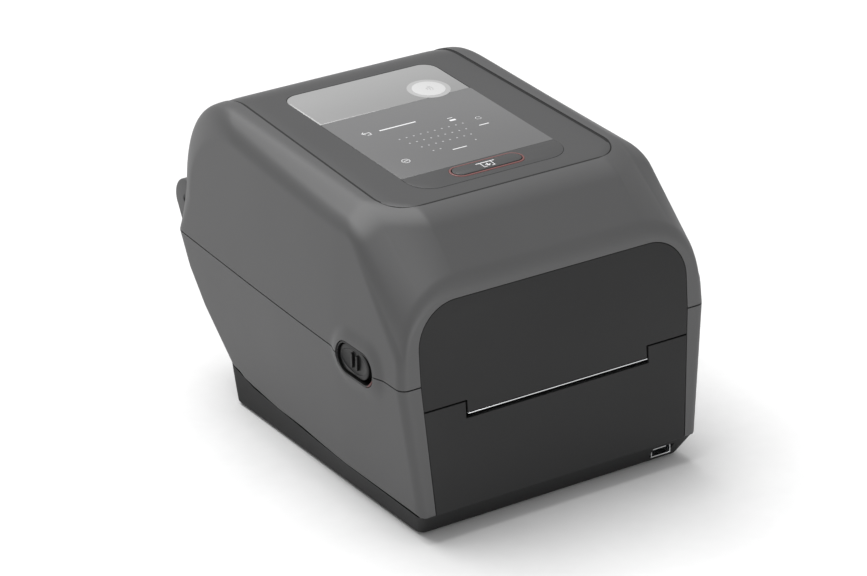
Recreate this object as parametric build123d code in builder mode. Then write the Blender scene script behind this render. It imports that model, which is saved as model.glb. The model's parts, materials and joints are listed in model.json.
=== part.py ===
from build123d import *
from math import acos, asin, atan2, cos, degrees, pi, radians, sin, sqrt, tan
import os

# A desktop label printer: a clamshell cover with a touch display, hinged at the rear of a lower case.
# Frame: millimetres, +Z up, front face towards -Y, origin on the ground under the middle.

os.makedirs("parts", exist_ok=True)

# ---- driving dimensions: the case ----
case_width = 211.0  # over the sides at the seam
case_depth = 280.0  # front lower edge to the back of the hinge lugs
seam_height = 96.0
cover_rise = 92.2  # seam to the highest point of the roof
case_bottom = 17.0  # lower edge of the case, above the tray
front_lean = 5.57  # degrees
side_draft = 2.6  # degrees, sides above the seam
side_flare = 8.9  # how much wider the seam is than the bottom, each side
rear_narrowing = 9.0  # how much narrower the rear is than the front, each side
roof_slope = 0.038
wall = 3.0
roof_wall = 4.2
seam_gap = 0.5
rear_round = 12.5
fit_gap = 0.2  # between fixed pieces that lie beside each other
move_gap = 0.4  # between pieces that move past each other
shaft_gap = 0.05  # radial, on every turning shaft
foot_height = 1.5
foot_radius = 8.0

# ---- driving dimensions: front ----
arch_rise = 54.6  # seam to the top of the light frame
arch_round = 38.0
frame_band = 13.3  # width of the light frame beside the panel
panel_round = 26.0
panel_top_rise = 46.0
panel_thickness = 3.0
split_drop = 15.3  # seam down to the line between the two panels
tongue_half_width = 62.3
tongue_drop = 22.7  # seam down to the tear bar
slot_height = 3.2
front_port_x = 75.0
front_port_z = 9.2
front_port_width = 14.2
front_port_height = 6.8

# ---- driving dimensions: media and print line ----
label_width = 100.0
roll_radius = 55.0
core_radius = 14.2
core_bore = 12.7
roll_y = 28.0
roll_rise = 4.0  # roll axis above the seam
roll_clearance = 9.0  # tub floor below the roll
rod_radius = 2.5
rod_spacing = 16.0  # each holder rod in front of and behind the roll axis
rod_lift = 4.0  # rods above the tub floor
sensor_rod_radius = 2.0
sensor_drop = 6.8  # sensor rod below the platen axis
sensor_y = -70.0
platen_length = 110.0
platen_radius = 9.0
platen_shaft_radius = 3.0
platen_drop = 32.4  # seam down to the platen axis
platen_setback = 22.0  # platen axis behind the front bottom edge
bearing_radius = 6.0
side_plate = 4.0
gear_module = 0.7
gear_face = 5.0
backlash = 0.12
platen_teeth = 28
idler_teeth = 36
motor_teeth = 18
rack_teeth = 18
web_thickness = 0.16

# ---- driving dimensions: hinge and latch ----
lug_radius = 12.5
hinge_rise = 18.5
hinge_pin_radius = 3.0
knuckle_radius = 10.0
lug_width = 14.0
lug_inset = 14.5  # outer face of the lug inside the case width
knuckle_width = 16.0
latch_y = -87.0
latch_length = 39.0
latch_height = 21.0
latch_travel = 5.0
bulge = 2.4
rim = 4.0
cup_wall = 1.2
cup_depth = 8.5

# ---- driving dimensions: top insert ----
insert_front_half = 80.6
insert_rear_half = 75.8
insert_front_y = -85.7
insert_rear_y = 86.0
insert_round = 22.0
insert_depth = 2.4
lens_half_width = 52.7
lens_front_y = -52.2
lens_rear_y = 33.6
lens_thickness = 1.2
window_rear_y = 78.5
window_round = 10.0
bezel_front_y = -72.6
bezel_round = 15.0
button_y = -60.9
button_length = 50.0
button_width = 14.0
ring_width = 1.4
disc_radius = 10.6
disc_place = (30.3, 45.0)

screw_places = [(x, y) for x in (-86, 86) for y in (-85, -10, 45)]
foot_places = [(x, y) for x in (-78, 78) for y in (-112, 60)]
screw_radius = 1.5
screw_head_radius = 2.9

# ---- derived levels and planes ----
half = case_width / 2
plan_rear = case_depth / 2 - 8.0
seam_narrowing = 0.86 * rear_narrowing
lean = tan(radians(front_lean))
roof_top = seam_height + cover_rise
roof_rear_y = case_depth / 2 - 58.0
roof_arc = 51.0
hinge_y = case_depth / 2 - lug_radius
hinge_z = seam_height + hinge_rise
platen_y = -case_depth / 2 + platen_setback
platen_z = seam_height - platen_drop
roll_z = seam_height + roll_rise
tub_floor = roll_z - roll_radius - roll_clearance
tub_half = half - 21.0
rod_lines = (roll_y - rod_spacing, roll_y + rod_spacing)
arm_half = tub_half - 6.5
knuckle_outer = half - lug_inset - lug_width - 0.6
pin_start = knuckle_outer - knuckle_width + 1.5
latch_z = seam_height
insert_angle = degrees(atan2(roof_slope, 1.0))
under_y, under_z = case_depth / 2 - 56.0, case_bottom + 9.5
slope_y, slope_z = case_depth / 2 - 32.0, case_bottom + 33.0


def front_y(z):
    """The leaning front plane."""
    return -case_depth / 2 + (z - case_bottom) * lean


def roof_z(y):
    """The gently rising roof plane."""
    return roof_top - roof_slope * (roof_rear_y - y)


roof_plane = Plane(
    origin=(0, 0, roof_z(0)),
    x_dir=(1, 0, 0),
    z_dir=(0, -sin(radians(insert_angle)), cos(radians(insert_angle))),
)
front_plane = Plane(
    origin=(0, front_y(seam_height), seam_height),
    x_dir=(1, 0, 0),
    z_dir=(0, -cos(radians(front_lean)), sin(radians(front_lean))),
)


def write(piece, name):
    piece.part.label = name
    export_step(piece.part, f"parts/{name}.step")


# ---- outer forms, shared by the shells and their hollows ----
def cover_section(x, arch_z, ridge, rear_top, rear_radius, foot_y, inset):
    """One upright slice of the cover at x: leaning front, slanted face, roof, rounded back."""
    low = seam_height - 40
    drop_y = rear_top[0] + rear_radius
    with BuildSketch(Plane.YZ.offset(x)) as section:
        with BuildLine():
            Polyline(
                (front_y(low), low),
                (front_y(arch_z), arch_z),
                ridge,
                rear_top,
            )
            CenterArc((rear_top[0], rear_top[1] - rear_radius), rear_radius, 0, 90)
            Polyline(
                (drop_y, rear_top[1] - rear_radius),
                (foot_y, seam_height + 2),
                (foot_y, low),
                (front_y(low), low),
            )
        make_face()
        if inset:
            offset(amount=-inset, kind=Kind.INTERSECTION, mode=Mode.REPLACE)
    return section.sketch.face()


def cover_stations(inset):
    crown = (roof_rear_y, roof_top)
    back = case_depth / 2 - 9.0
    arch_z = seam_height + arch_rise
    low_arch = arch_z - arch_round
    flat_x = half - 3.0 - arch_round
    ridge_x = half - 19.5
    side_x = half - 3.2
    side_arch = low_arch + 0.5
    ridge_arch = low_arch + sqrt(arch_round**2 - (ridge_x - flat_x) ** 2)
    shoulder = roof_top - 14.2
    crease_radius = 62.0
    middle = (flat_x, arch_z, (-case_depth / 2 + 47, roof_z(-93)), crown, roof_arc, back)
    ridge = (ridge_x, ridge_arch, (-case_depth / 2 + 66, roof_z(-74)), crown, roof_arc, back)
    crease = ((-case_depth / 2 + 62, shoulder - 1.5), (48, shoulder), crease_radius, back - 3)
    side = (side_x, side_arch, *crease)
    outer = (half + 6, side_arch, *crease)
    right = [cover_section(s[0] - inset, *s[1:], inset) for s in (middle, ridge, side)]
    right.append(cover_section(outer[0], *outer[1:], inset))
    left = [cover_section(inset - s[0], *s[1:], inset) for s in (middle, ridge, side)]
    left.append(cover_section(-outer[0], *outer[1:], inset))
    return left[::-1] + right


def plan_face(z, half_front, half_middle, half_rear, rear_y, inset):
    """The outline of the case seen from above, at height z; the front is cut off later."""
    with BuildSketch(Plane.XY.offset(z)) as plan:
        with BuildLine():
            front = -case_depth / 2 - 20
            Line((-half_front, front), (half_front, front))
            Line((half_front, front), (half_front, -61))
            ThreePointArc((half_front, -61), (half_middle, 20), (half_rear, rear_y - 24))
            Polyline(
                (half_rear, rear_y - 24),
                (half_rear - 1.0, rear_y),
                (1.0 - half_rear, rear_y),
                (-half_rear, rear_y - 24),
            )
            ThreePointArc((-half_rear, rear_y - 24), (-half_middle, 20), (-half_front, -61))
            Line((-half_front, -61), (-half_front, front))
        make_face()
        fillet(plan.vertices().group_by(Axis.Y)[-1], radius=rear_round)
        if inset:
            offset(amount=-inset, kind=Kind.INTERSECTION, mode=Mode.REPLACE)
    return plan.sketch.face()


def seam_plan(z, inset):
    middle = half - 0.36 * rear_narrowing
    return plan_face(z, half, middle, half - seam_narrowing, plan_rear, inset)


def cover_form(inset):
    """The cover's outer form, or with an inset the form that lies that far inside it."""
    low = seam_height - 10
    grow = (seam_height - low) * tan(radians(side_draft))
    with BuildPart() as prism:
        add(seam_plan(low, inset - grow))
        extrude(amount=cover_rise + 30, taper=side_draft)
    with BuildPart() as form:
        for face in cover_stations(inset):
            add(face)
        loft(ruled=True)
        add(prism.part, mode=Mode.INTERSECT)
    return form.part


def case_form(inset):
    """The lower case: flared sides between a bottom and a seam outline, cut to its side profile."""
    low = case_bottom - 4
    rise = (seam_height - low) / (seam_height - case_bottom)
    middle = half - 0.36 * rear_narrowing
    narrow = half - side_flare * rise
    back = case_depth / 2 - 9.0
    belly = (back - 8.0, (slope_z + seam_height) / 2 - 1)
    top = seam_height + 6
    with BuildPart() as profile:
        with BuildSketch(Plane.YZ):
            with BuildLine():
                Polyline(
                    (front_y(top), top),
                    (front_y(case_bottom), case_bottom),
                    (50, case_bottom + 3),
                    (under_y, under_z),
                    (slope_y, slope_z),
                )
                ThreePointArc((slope_y, slope_z), belly, (back, seam_height))
                Polyline((back, seam_height), (back, top), (front_y(top), top))
            make_face()
            if inset:
                offset(amount=-inset, kind=Kind.INTERSECTION, mode=Mode.REPLACE)
        extrude(amount=half + 10, both=True)
    with BuildPart() as form:
        add(plan_face(low, narrow, narrow - 0.2, narrow - 0.9, plan_rear, inset))
        add(plan_face(seam_height + 4, half, middle, half - seam_narrowing, plan_rear, inset))
        loft(ruled=True)
        add(profile.part, mode=Mode.INTERSECT)
    return form.part


def tray_form(inset):
    """The base tray: sloping sides that widen upwards, cut off along the lower edge of the case."""
    low = foot_height
    high = case_bottom + 13
    tray_half = half - side_flare
    with BuildPart() as form:
        for z, grow in ((low, 0.0), (high, 1.0)):
            with BuildSketch(Plane.XY.offset(z)):
                wide = tray_half - 5.6 + 9.2 * grow
                front = -case_depth / 2 + 12.6 - 17.0 * grow
                rear = under_y - 12.0 + 9.8 * grow
                with Locations((0, (front + rear) / 2)):
                    RectangleRounded(2 * (wide - inset), rear - front - 2 * inset, 6.0)
        loft(ruled=True)
        with BuildSketch(Plane.YZ) as side:
            with BuildLine():
                Polyline(
                    (-case_depth, foot_height + inset),
                    (case_depth, foot_height + inset),
                    (case_depth, under_z),
                    (under_y, under_z),
                    (50, case_bottom + 3),
                    (front_y(case_bottom), case_bottom),
                    (-case_depth, case_bottom),
                    (-case_depth, foot_height + inset),
                )
            make_face()
        extrude(amount=half + 20, both=True, mode=Mode.INTERSECT)
    return form.part


def panel_half(z):
    """Half the dark front panel's width at height z."""
    edge = half - frame_band
    return edge if z > seam_height else edge - 5.3 * (seam_height - z) / (seam_height - case_bottom)


def rise(z):
    """Distance up the leaning front plane from the seam to height z."""
    return (z - seam_height) / cos(radians(front_lean))


def upper_panel_sketch(grow):
    split = seam_height - split_drop
    with BuildSketch(Plane.XY) as outline:
        with BuildLine():
            top = rise(seam_height + panel_top_rise)
            shoulder = top - panel_round
            edge = panel_half(seam_height)
            Polyline(
                (-edge, shoulder),
                (-edge, 0),
                (-panel_half(split), rise(split)),
                (-tongue_half_width, rise(split)),
                (-tongue_half_width, rise(seam_height - tongue_drop)),
                (tongue_half_width, rise(seam_height - tongue_drop)),
                (tongue_half_width, rise(split)),
                (panel_half(split), rise(split)),
                (edge, 0),
                (edge, shoulder),
            )
            CenterArc((edge - panel_round, shoulder), panel_round, 0, 90)
            Line((edge - panel_round, top), (panel_round - edge, top))
            CenterArc((panel_round - edge, shoulder), panel_round, 90, 90)
        make_face()
        if grow:
            offset(amount=grow, kind=Kind.INTERSECTION, mode=Mode.REPLACE)
    return outline.sketch


def lower_panel_sketch(grow):
    split = seam_height - split_drop - 2 * move_gap
    notch = tongue_half_width + 2 * move_gap
    sill = seam_height - tongue_drop - slot_height
    with BuildSketch(Plane.XY) as outline:
        with BuildLine():
            Polyline(
                (-panel_half(split), rise(split)),
                (-panel_half(case_bottom), rise(case_bottom)),
                (panel_half(case_bottom), rise(case_bottom)),
                (panel_half(split), rise(split)),
                (notch, rise(split)),
                (notch, rise(sill)),
                (-notch, rise(sill)),
                (-notch, rise(split)),
                close=True,
            )
        make_face()
        if grow:
            offset(amount=grow, kind=Kind.INTERSECTION, mode=Mode.REPLACE)
    return outline.sketch


def latch_oval(x, length, height):
    """A flat oval facing sideways at x, round the latch."""
    with BuildSketch(Plane.YZ.offset(x)) as oval:
        with Locations((latch_y, latch_z)):
            SlotOverall(length, height)
    return oval.sketch


def bulges():
    """The raised rims round both latch pockets."""
    with BuildPart() as rims:
        for side in (-1, 1):
            reach = half + bulge
            add(latch_oval(side * (reach - 8), latch_length + 2 * rim + 8, latch_height + 2 * rim + 8).face())
            add(latch_oval(side * reach, latch_length + 2 * rim - 8, latch_height + 2 * rim - 8).face())
            loft(ruled=True)
    return rims.part


def gear_points(teeth, turn):
    """An involute gear's outline, with one tooth centred on the angle turn (radians)."""
    pitch = gear_module * teeth / 2
    pressure = radians(20)
    base = pitch * cos(pressure)
    tip = pitch + gear_module
    root = pitch - 1.25 * gear_module
    half_tooth = (pi * gear_module / 2 - backlash) / (2 * pitch) + tan(pressure) - pressure
    flank = [(root, half_tooth)]
    for step in range(6):
        radius = base + (tip - base) * step / 5
        roll = acos(base / radius)
        flank.append((radius, half_tooth - (tan(roll) - roll)))
    points = []
    for tooth in range(teeth):
        centre = turn + 2 * pi * tooth / teeth
        points += [(r * cos(centre - a), r * sin(centre - a)) for r, a in flank]
        points += [(r * cos(centre + a), r * sin(centre + a)) for r, a in reversed(flank)]
    return points


def pitch_radius(teeth):
    return gear_module * teeth / 2


def rack_points(first_x, pitch_y, facing):
    """A rack with a tooth centred on x = 0, its teeth pointing towards facing (+1 or -1) in y."""
    pitch = pi * gear_module
    slope = tan(radians(20))
    tip_half = pitch / 4 - backlash / 2 - gear_module * slope
    root_half = pitch / 4 - backlash / 2 + 1.25 * gear_module * slope
    tip_y = pitch_y + facing * gear_module
    root_y = pitch_y - facing * 1.25 * gear_module
    points = []
    for tooth in range(rack_teeth):
        x = (first_x + tooth) * pitch
        points += [(x - root_half, root_y), (x - tip_half, tip_y)]
        points += [(x + tip_half, tip_y), (x + root_half, root_y)]
    back_y = root_y - facing * 3.5
    return points + [(points[-1][0], back_y), (points[0][0], back_y)]


# ---- rear connectors, square to the sloping underside ----
slope_turn = atan2(slope_z - under_z, slope_y - under_y)
io_plane = Plane(
    origin=(0, (under_y + slope_y) / 2, (under_z + slope_z) / 2),
    x_dir=(-1, 0, 0),
    z_dir=(0, sin(slope_turn), -cos(slope_turn)),
)
io_height = 20.0
ports = {
    "power_jack": (-48.0, 9.0, 11.0),
    "usb_device_port": (-22.0, 12.0, 10.5),
    "network_port": (6.0, 16.0, 13.5),
}
power_button_at = 44.0
power_button_radius = 6.0

# ---- case pieces ----
bulge_rims = bulges()
case_outer = case_form(0)
case_hollow = case_form(wall)
cover_outer = cover_form(0)
cover_hollow = cover_form(wall)
insert_under = cover_form(insert_depth)

with BuildPart() as base_tray:
    add(tray_form(0))
    add(tray_form(wall), mode=Mode.SUBTRACT)
    with Locations(*[(x, y, foot_height + wall) for x, y in screw_places]):
        Cylinder(5.0, 30, align=(Align.CENTER, Align.CENTER, Align.MIN))
    add(tray_form(0), mode=Mode.INTERSECT)
    with Locations(*[(x, y, foot_height) for x, y in foot_places]):
        Cylinder(foot_radius + fit_gap, 2.0, mode=Mode.SUBTRACT)
    with Locations(*[(x, y, 0) for x, y in screw_places]):
        Cylinder(screw_radius, 60, mode=Mode.SUBTRACT)
        Cylinder(screw_head_radius + 0.3, 6.4, mode=Mode.SUBTRACT)
    with Locations((front_port_x, -case_depth / 2 + 8, front_port_z)):
        Box(front_port_width + 0.8, 30, front_port_height + 1.0, mode=Mode.SUBTRACT)
write(base_tray, "base_tray")

with BuildPart() as lower_case:
    add(case_outer)
    add(bulge_rims)
    add(case_hollow, mode=Mode.SUBTRACT)
    # the underside stays open inside a flange that sits on the tray
    with Locations((0, -28, case_bottom)):
        Box(164, 196, 30, mode=Mode.SUBTRACT)
    # hinge lugs stand behind the seam on short necks
    for side in (-1, 1):
        outer_face = side * (half - lug_inset)
        with BuildSketch(Plane.YZ.offset(outer_face)):
            with Locations((hinge_y, hinge_z)):
                Circle(lug_radius)
            with BuildLine():
                Polyline(
                    (hinge_y - 9, hinge_z - 5),
                    (hinge_y - 5.5, seam_height - 10),
                    (hinge_y - 0.5, seam_height - 12),
                    (hinge_y + 3.3, seam_height - 1),
                    (hinge_y + 9, hinge_z - 8),
                    close=True,
                )
            make_face()
        extrude(amount=-side * lug_width)
    # above the seam only the lugs remain
    above = half - lug_inset - lug_width
    with BuildSketch(Plane.XY.offset(seam_height - seam_gap / 2)):
        Rectangle(3 * case_width, 3 * case_depth)
        for side in (-1, 1):
            with Locations((side * (above + lug_width / 2), hinge_y)):
                Rectangle(lug_width, 44, mode=Mode.SUBTRACT)
    extrude(amount=60, mode=Mode.SUBTRACT)
    with Locations((0, hinge_y, seam_height)):
        Box(2 * above - 1, 24, 2.4, mode=Mode.SUBTRACT)
    for side in (-1, 1):
        with BuildSketch(Plane.YZ.offset(side * (half - 14))):
            with Locations((latch_y, latch_z)):
                SlotOverall(latch_length, latch_height)
        extrude(amount=side * 30, mode=Mode.SUBTRACT)
    with BuildSketch(front_plane):
        add(lower_panel_sketch(fit_gap))
        Rectangle(2 * panel_half(seam_height), 2 * split_drop + 4)
        Rectangle(2 * tongue_half_width + 2, 2 * (tongue_drop + slot_height + 1))
    extrude(amount=-8, both=True, mode=Mode.SUBTRACT)
    with Locations((0, hinge_y, hinge_z)):
        Cylinder(hinge_pin_radius, 2 * case_width, rotation=(0, 90, 0), mode=Mode.SUBTRACT)
    with BuildSketch(io_plane.offset(5)):
        RectangleRounded(130 + 2 * fit_gap, io_height + 2 * fit_gap, 2.0)
    extrude(amount=-14, mode=Mode.SUBTRACT)
    with Locations(*[(x, y, case_bottom) for x, y in screw_places]):
        Cylinder(screw_radius, 20, mode=Mode.SUBTRACT)
write(lower_case, "lower_case")

with BuildPart() as front_panel_lower:
    with BuildSketch(front_plane):
        add(lower_panel_sketch(0))
    extrude(amount=-panel_thickness)
    with BuildSketch(front_plane.offset(-panel_thickness)):
        with Locations(*[(x, -50) for x in (-40, 0, 40)]):
            Rectangle(2.0, 40)
    extrude(amount=-3.0)
write(front_panel_lower, "front_panel_lower")

with BuildPart() as rubber_feet:
    with Locations(*[(x, y, 0) for x, y in foot_places]):
        Cylinder(foot_radius, foot_height + 1.0, align=(Align.CENTER, Align.CENTER, Align.MIN))
    chamfer(rubber_feet.edges().group_by(Axis.Z)[0], length=0.5)
write(rubber_feet, "rubber_feet")

with BuildPart() as case_screws:
    for x, y in screw_places:
        with Locations((x, y, foot_height + 0.3)):
            Cylinder(screw_head_radius, 1.4, align=(Align.CENTER, Align.CENTER, Align.MIN))
            Cylinder(screw_radius, case_bottom + 4, align=(Align.CENTER, Align.CENTER, Align.MIN))
            Cylinder(1.2, 1.6, mode=Mode.SUBTRACT)
write(case_screws, "case_screws")

# ---- print line: gear centres, seen along X ----
platen_at = (platen_y, platen_z)
idler_reach = pitch_radius(platen_teeth) + pitch_radius(idler_teeth)
motor_reach = pitch_radius(idler_teeth) + pitch_radius(motor_teeth)
to_idler = radians(-35)
to_motor = radians(-60)
idler_at = (platen_at[0] + idler_reach * cos(to_idler), platen_at[1] + idler_reach * sin(to_idler))
motor_at = (idler_at[0] + motor_reach * cos(to_motor), idler_at[1] + motor_reach * sin(to_motor))
idler_turn = to_idler + pi + pi / idler_teeth
idler_pitch = 2 * pi / idler_teeth
mesh_offset = (idler_turn - to_motor + idler_pitch / 2) % idler_pitch - idler_pitch / 2
motor_turn = to_motor + pi - mesh_offset * idler_teeth / motor_teeth + pi / motor_teeth
plate_inner = platen_length / 2 + 5.0
plate_outer = plate_inner + side_plate
gear_x = -plate_outer - 4.0 - gear_face

with BuildPart() as media_chassis:
    # tub under the label roll: floor, front wall, sloping rear wall
    with BuildSketch(Plane.YZ):
        with BuildLine():
            Polyline(
                (-58, tub_floor + 24),
                (-58, tub_floor - side_plate + 1),
                (66, tub_floor - side_plate + 1),
                (slope_y - 12, slope_z + 12),
                (hinge_y - 19, seam_height - 20),
                (hinge_y - 19, seam_height - 5),
                (hinge_y - 22, seam_height - 5),
                (hinge_y - 22, seam_height - 19),
                (slope_y - 15, slope_z + 13),
                (65, tub_floor),
                (-55, tub_floor),
                (-55, tub_floor + 24),
                close=True,
            )
        make_face()
    extrude(amount=tub_half, both=True)
    for side in (-1, 1):
        with BuildSketch(Plane.YZ.offset(side * tub_half)):
            with BuildLine():
                Polyline(
                    (-58, tub_floor - 3),
                    (66, tub_floor - 3),
                    (slope_y - 12, slope_z + 12),
                    (hinge_y - 19, seam_height - 20),
                    (hinge_y - 19, seam_height - 5),
                    (-100, seam_height - 5),
                    (-100, seam_height - 18),
                    (-58, tub_floor + 24),
                    close=True,
                )
            make_face()
        extrude(amount=side * wall)
        # plate that carries the platen and its gears
        with BuildSketch(Plane.YZ.offset(side * plate_inner)):
            with BuildLine():
                Polyline(
                    (-58, motor_at[1] - 17),
                    (-58, platen_z - 3),
                    (-97, platen_z + 8.6),
                    (platen_y - 9, platen_z + 8.6),
                    (platen_y - 9, platen_z - 10),
                    (motor_at[0] - 17, motor_at[1] - 17),
                    close=True,
                )
            make_face()
            with Locations(platen_at):
                Circle(bearing_radius, mode=Mode.SUBTRACT)
            if side < 0:
                with Locations(motor_at):
                    Circle(4.0, mode=Mode.SUBTRACT)
        extrude(amount=side * side_plate)
    # legs down to the tray, hollow for the screws
    with Locations(*[(x, y, foot_height + wall) for x in (-76, 76) for y in (-48, 52)]):
        Cylinder(4.0, tub_floor - foot_height - 5, align=(Align.CENTER, Align.CENTER, Align.MIN))
    # stud for the idler gear
    with Locations(Location((gear_x - 1.5, idler_at[0], idler_at[1]), (0, 90, 0))):
        Cylinder(2.0, -gear_x + 1.5 - plate_inner, align=(Align.CENTER, Align.CENTER, Align.MIN))
    # blocks that hold the holder rods and the sensor rod, bored through
    for rod_y in rod_lines:
        with Locations(*[(x, rod_y, tub_floor) for x in (-tub_half + 4, tub_half - 4)]):
            Box(8, 9, 8.5, align=(Align.CENTER, Align.CENTER, Align.MIN))
        with Locations((0, rod_y, tub_floor + rod_lift)):
            Cylinder(rod_radius, 2 * tub_half - 4, rotation=(0, 90, 0), mode=Mode.SUBTRACT)
    with Locations((0, sensor_y, platen_z - sensor_drop)):
        Cylinder(sensor_rod_radius, 2 * plate_outer - 3, rotation=(0, 90, 0), mode=Mode.SUBTRACT)
    # boss for the holder pinion
    with Locations((0, roll_y, tub_floor)):
        Cylinder(2.0, 7.5, align=(Align.CENTER, Align.CENTER, Align.MIN))
    # strikes that the cover latches hook behind
    strike_x = tub_half + wall + 2.5
    with Locations(*[(x, latch_y - 7.0, latch_z - 8) for x in (-strike_x, strike_x)]):
        Cylinder(2.0, 5.0, rotation=(0, 90, 0))
write(media_chassis, "media_chassis")

with BuildPart() as platen_bearings:
    for side in (-1, 1):
        with Locations(Location((side * (plate_inner + side_plate / 2), platen_y, platen_z), (0, 90, 0))):
            Cylinder(bearing_radius, side_plate)
            Cylinder(platen_shaft_radius + shaft_gap, side_plate, mode=Mode.SUBTRACT)
write(platen_bearings, "platen_bearings")

with BuildPart() as stepper_motor:
    with BuildSketch(Plane.YZ.offset(-plate_inner + fit_gap)):
        with Locations(motor_at):
            RectangleRounded(34.0, 34.0, 4.0)
    extrude(amount=28)
    with BuildSketch(Plane.YZ.offset(-plate_inner + fit_gap + 6)):
        with Locations(motor_at):
            RectangleRounded(36.0, 36.0, 4.0)
            RectangleRounded(34.0, 34.0, 4.0, mode=Mode.SUBTRACT)
    extrude(amount=16)
write(stepper_motor, "stepper_motor")

with BuildPart() as main_board:
    with BuildSketch(Plane.XY.offset(9.0)):
        with Locations((0, 5)):
            Rectangle(140, 104)
        with Locations(*[(x, y) for x in (-64, 64) for y in (-42, 52)]):
            Circle(1.6, mode=Mode.SUBTRACT)
    extrude(amount=1.6)
write(main_board, "main_board")

with BuildPart() as board_components:
    with Locations((-20, 0, 10.6)):
        Box(22, 22, 2.0, align=(Align.CENTER, Align.CENTER, Align.MIN))
    with Locations(*[(18, y, 10.6) for y in (-12, 4)]):
        Box(14, 10, 1.4, align=(Align.CENTER, Align.CENTER, Align.MIN))
    with Locations(*[(x, 40, 10.6) for x in (-44, -30, -16)]):
        Cylinder(5.0, 12.0, align=(Align.CENTER, Align.CENTER, Align.MIN))
    with Locations(*[(48, y, 10.6) for y in (-32, -18, -4)]):
        Box(8, 10, 7.0, align=(Align.CENTER, Align.CENTER, Align.MIN))
write(board_components, "board_components")

with BuildPart() as connector_panel:
    with BuildSketch(io_plane):
        RectangleRounded(130, io_height, 2.0)
        for x, width, height in ports.values():
            with Locations((x, 0)):
                Rectangle(width + 2 * fit_gap, height + 2 * fit_gap, mode=Mode.SUBTRACT)
        with Locations((power_button_at, 0)):
            Circle(power_button_radius + move_gap, mode=Mode.SUBTRACT)
    extrude(amount=-2.0)
write(connector_panel, "connector_panel")

with BuildPart() as power_jack:
    x, width, height = ports["power_jack"]
    with BuildSketch(io_plane.offset(0.3)):
        with Locations((x, 0)):
            Rectangle(width, height)
    extrude(amount=-10)
    with BuildSketch(io_plane.offset(0.3)):
        with Locations((x, 0)):
            Circle(3.2)
            Circle(1.0, mode=Mode.SUBTRACT)
    extrude(amount=-8.5, mode=Mode.SUBTRACT)
write(power_jack, "power_jack")

with BuildPart() as usb_device_port:
    x, width, height = ports["usb_device_port"]
    with BuildSketch(io_plane.offset(0.3)):
        with Locations((x, 0)):
            Rectangle(width, height)
    extrude(amount=-10)
    with BuildSketch(io_plane.offset(0.3)):
        with Locations((x, 0)):
            Rectangle(width - 2.4, height - 2.4)
            Rectangle(5.6, 3.2, mode=Mode.SUBTRACT)
    extrude(amount=-8.5, mode=Mode.SUBTRACT)
write(usb_device_port, "usb_device_port")

with BuildPart() as network_port:
    x, width, height = ports["network_port"]
    with BuildSketch(io_plane.offset(0.3)):
        with Locations((x, 0)):
            Rectangle(width, height)
    extrude(amount=-11)
    with BuildSketch(io_plane.offset(0.3)):
        with Locations((x, 0.6)):
            Rectangle(width - 3.6, height - 5.0)
    extrude(amount=-9.5, mode=Mode.SUBTRACT)
write(network_port, "network_port")

with BuildPart() as power_button:
    with BuildSketch(io_plane.offset(1.6)):
        with Locations((power_button_at, 0)):
            Circle(power_button_radius)
    extrude(amount=-5.0)
    fillet(power_button.faces().sort_by(Axis.Z)[0].edges(), radius=0.6)
write(power_button, "power_button")

with BuildPart() as front_usb_port:
    port_y = -case_depth / 2 + 6.6
    with Locations((front_port_x, port_y, front_port_z)):
        Box(front_port_width, 16.0, front_port_height, align=(Align.CENTER, Align.MIN, Align.CENTER))
        inner_width = front_port_width - 1.4
        inner_height = front_port_height - 1.4
        hollow_align = (Align.CENTER, Align.MIN, Align.CENTER)
        Box(inner_width, 14.5, inner_height, align=hollow_align, mode=Mode.SUBTRACT)
    with Locations((front_port_x, port_y + 2, front_port_z + 0.8)):
        Box(10.8, 13, 1.8, align=(Align.CENTER, Align.MIN, Align.CENTER))
write(front_usb_port, "front_usb_port")

with BuildPart() as hinge_pins:
    for side in (-1, 1):
        with Locations(Location((side * pin_start, hinge_y, hinge_z), (0, side * 90, 0))):
            pin_length = half - lug_inset - pin_start
            Cylinder(hinge_pin_radius, pin_length, align=(Align.CENTER, Align.CENTER, Align.MIN))
write(hinge_pins, "hinge_pins")

with BuildPart() as holder_rods:
    with Locations(*[(0, rod_y, tub_floor + rod_lift) for rod_y in rod_lines]):
        Cylinder(rod_radius, 2 * tub_half - 4, rotation=(0, 90, 0))
write(holder_rods, "holder_rods")

with BuildPart() as sensor_rod:
    with Locations((0, sensor_y, platen_z - sensor_drop)):
        Cylinder(sensor_rod_radius, 2 * plate_outer - 3, rotation=(0, 90, 0))
write(sensor_rod, "sensor_rod")

# ---- what turns and slides in the base ----
with BuildPart() as platen_shaft:
    with Locations(Location((gear_x - 1, platen_y, platen_z), (0, 90, 0))):
        shaft_length = plate_outer + 2 - gear_x + 1
        Cylinder(platen_shaft_radius, shaft_length, align=(Align.CENTER, Align.CENTER, Align.MIN))
write(platen_shaft, "platen_shaft")

with BuildPart() as platen_rubber:
    with Locations((0, platen_y, platen_z)):
        Cylinder(platen_radius, platen_length, rotation=(0, 90, 0))
        Cylinder(platen_shaft_radius, platen_length, rotation=(0, 90, 0), mode=Mode.SUBTRACT)
write(platen_rubber, "platen_rubber")

with BuildPart() as platen_gear:
    with BuildSketch(Plane.YZ.offset(gear_x)):
        with Locations(platen_at):
            Polygon(*gear_points(platen_teeth, to_idler), align=None)
            Circle(platen_shaft_radius, mode=Mode.SUBTRACT)
    extrude(amount=gear_face)
write(platen_gear, "platen_gear")

with BuildPart() as idler_gear:
    with BuildSketch(Plane.YZ.offset(gear_x)):
        with Locations(idler_at):
            Polygon(*gear_points(idler_teeth, idler_turn), align=None)
            Circle(2.0 + shaft_gap, mode=Mode.SUBTRACT)
            with PolarLocations(7.2, 5):
                Circle(2.2, mode=Mode.SUBTRACT)
    extrude(amount=gear_face)
write(idler_gear, "idler_gear")

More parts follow.
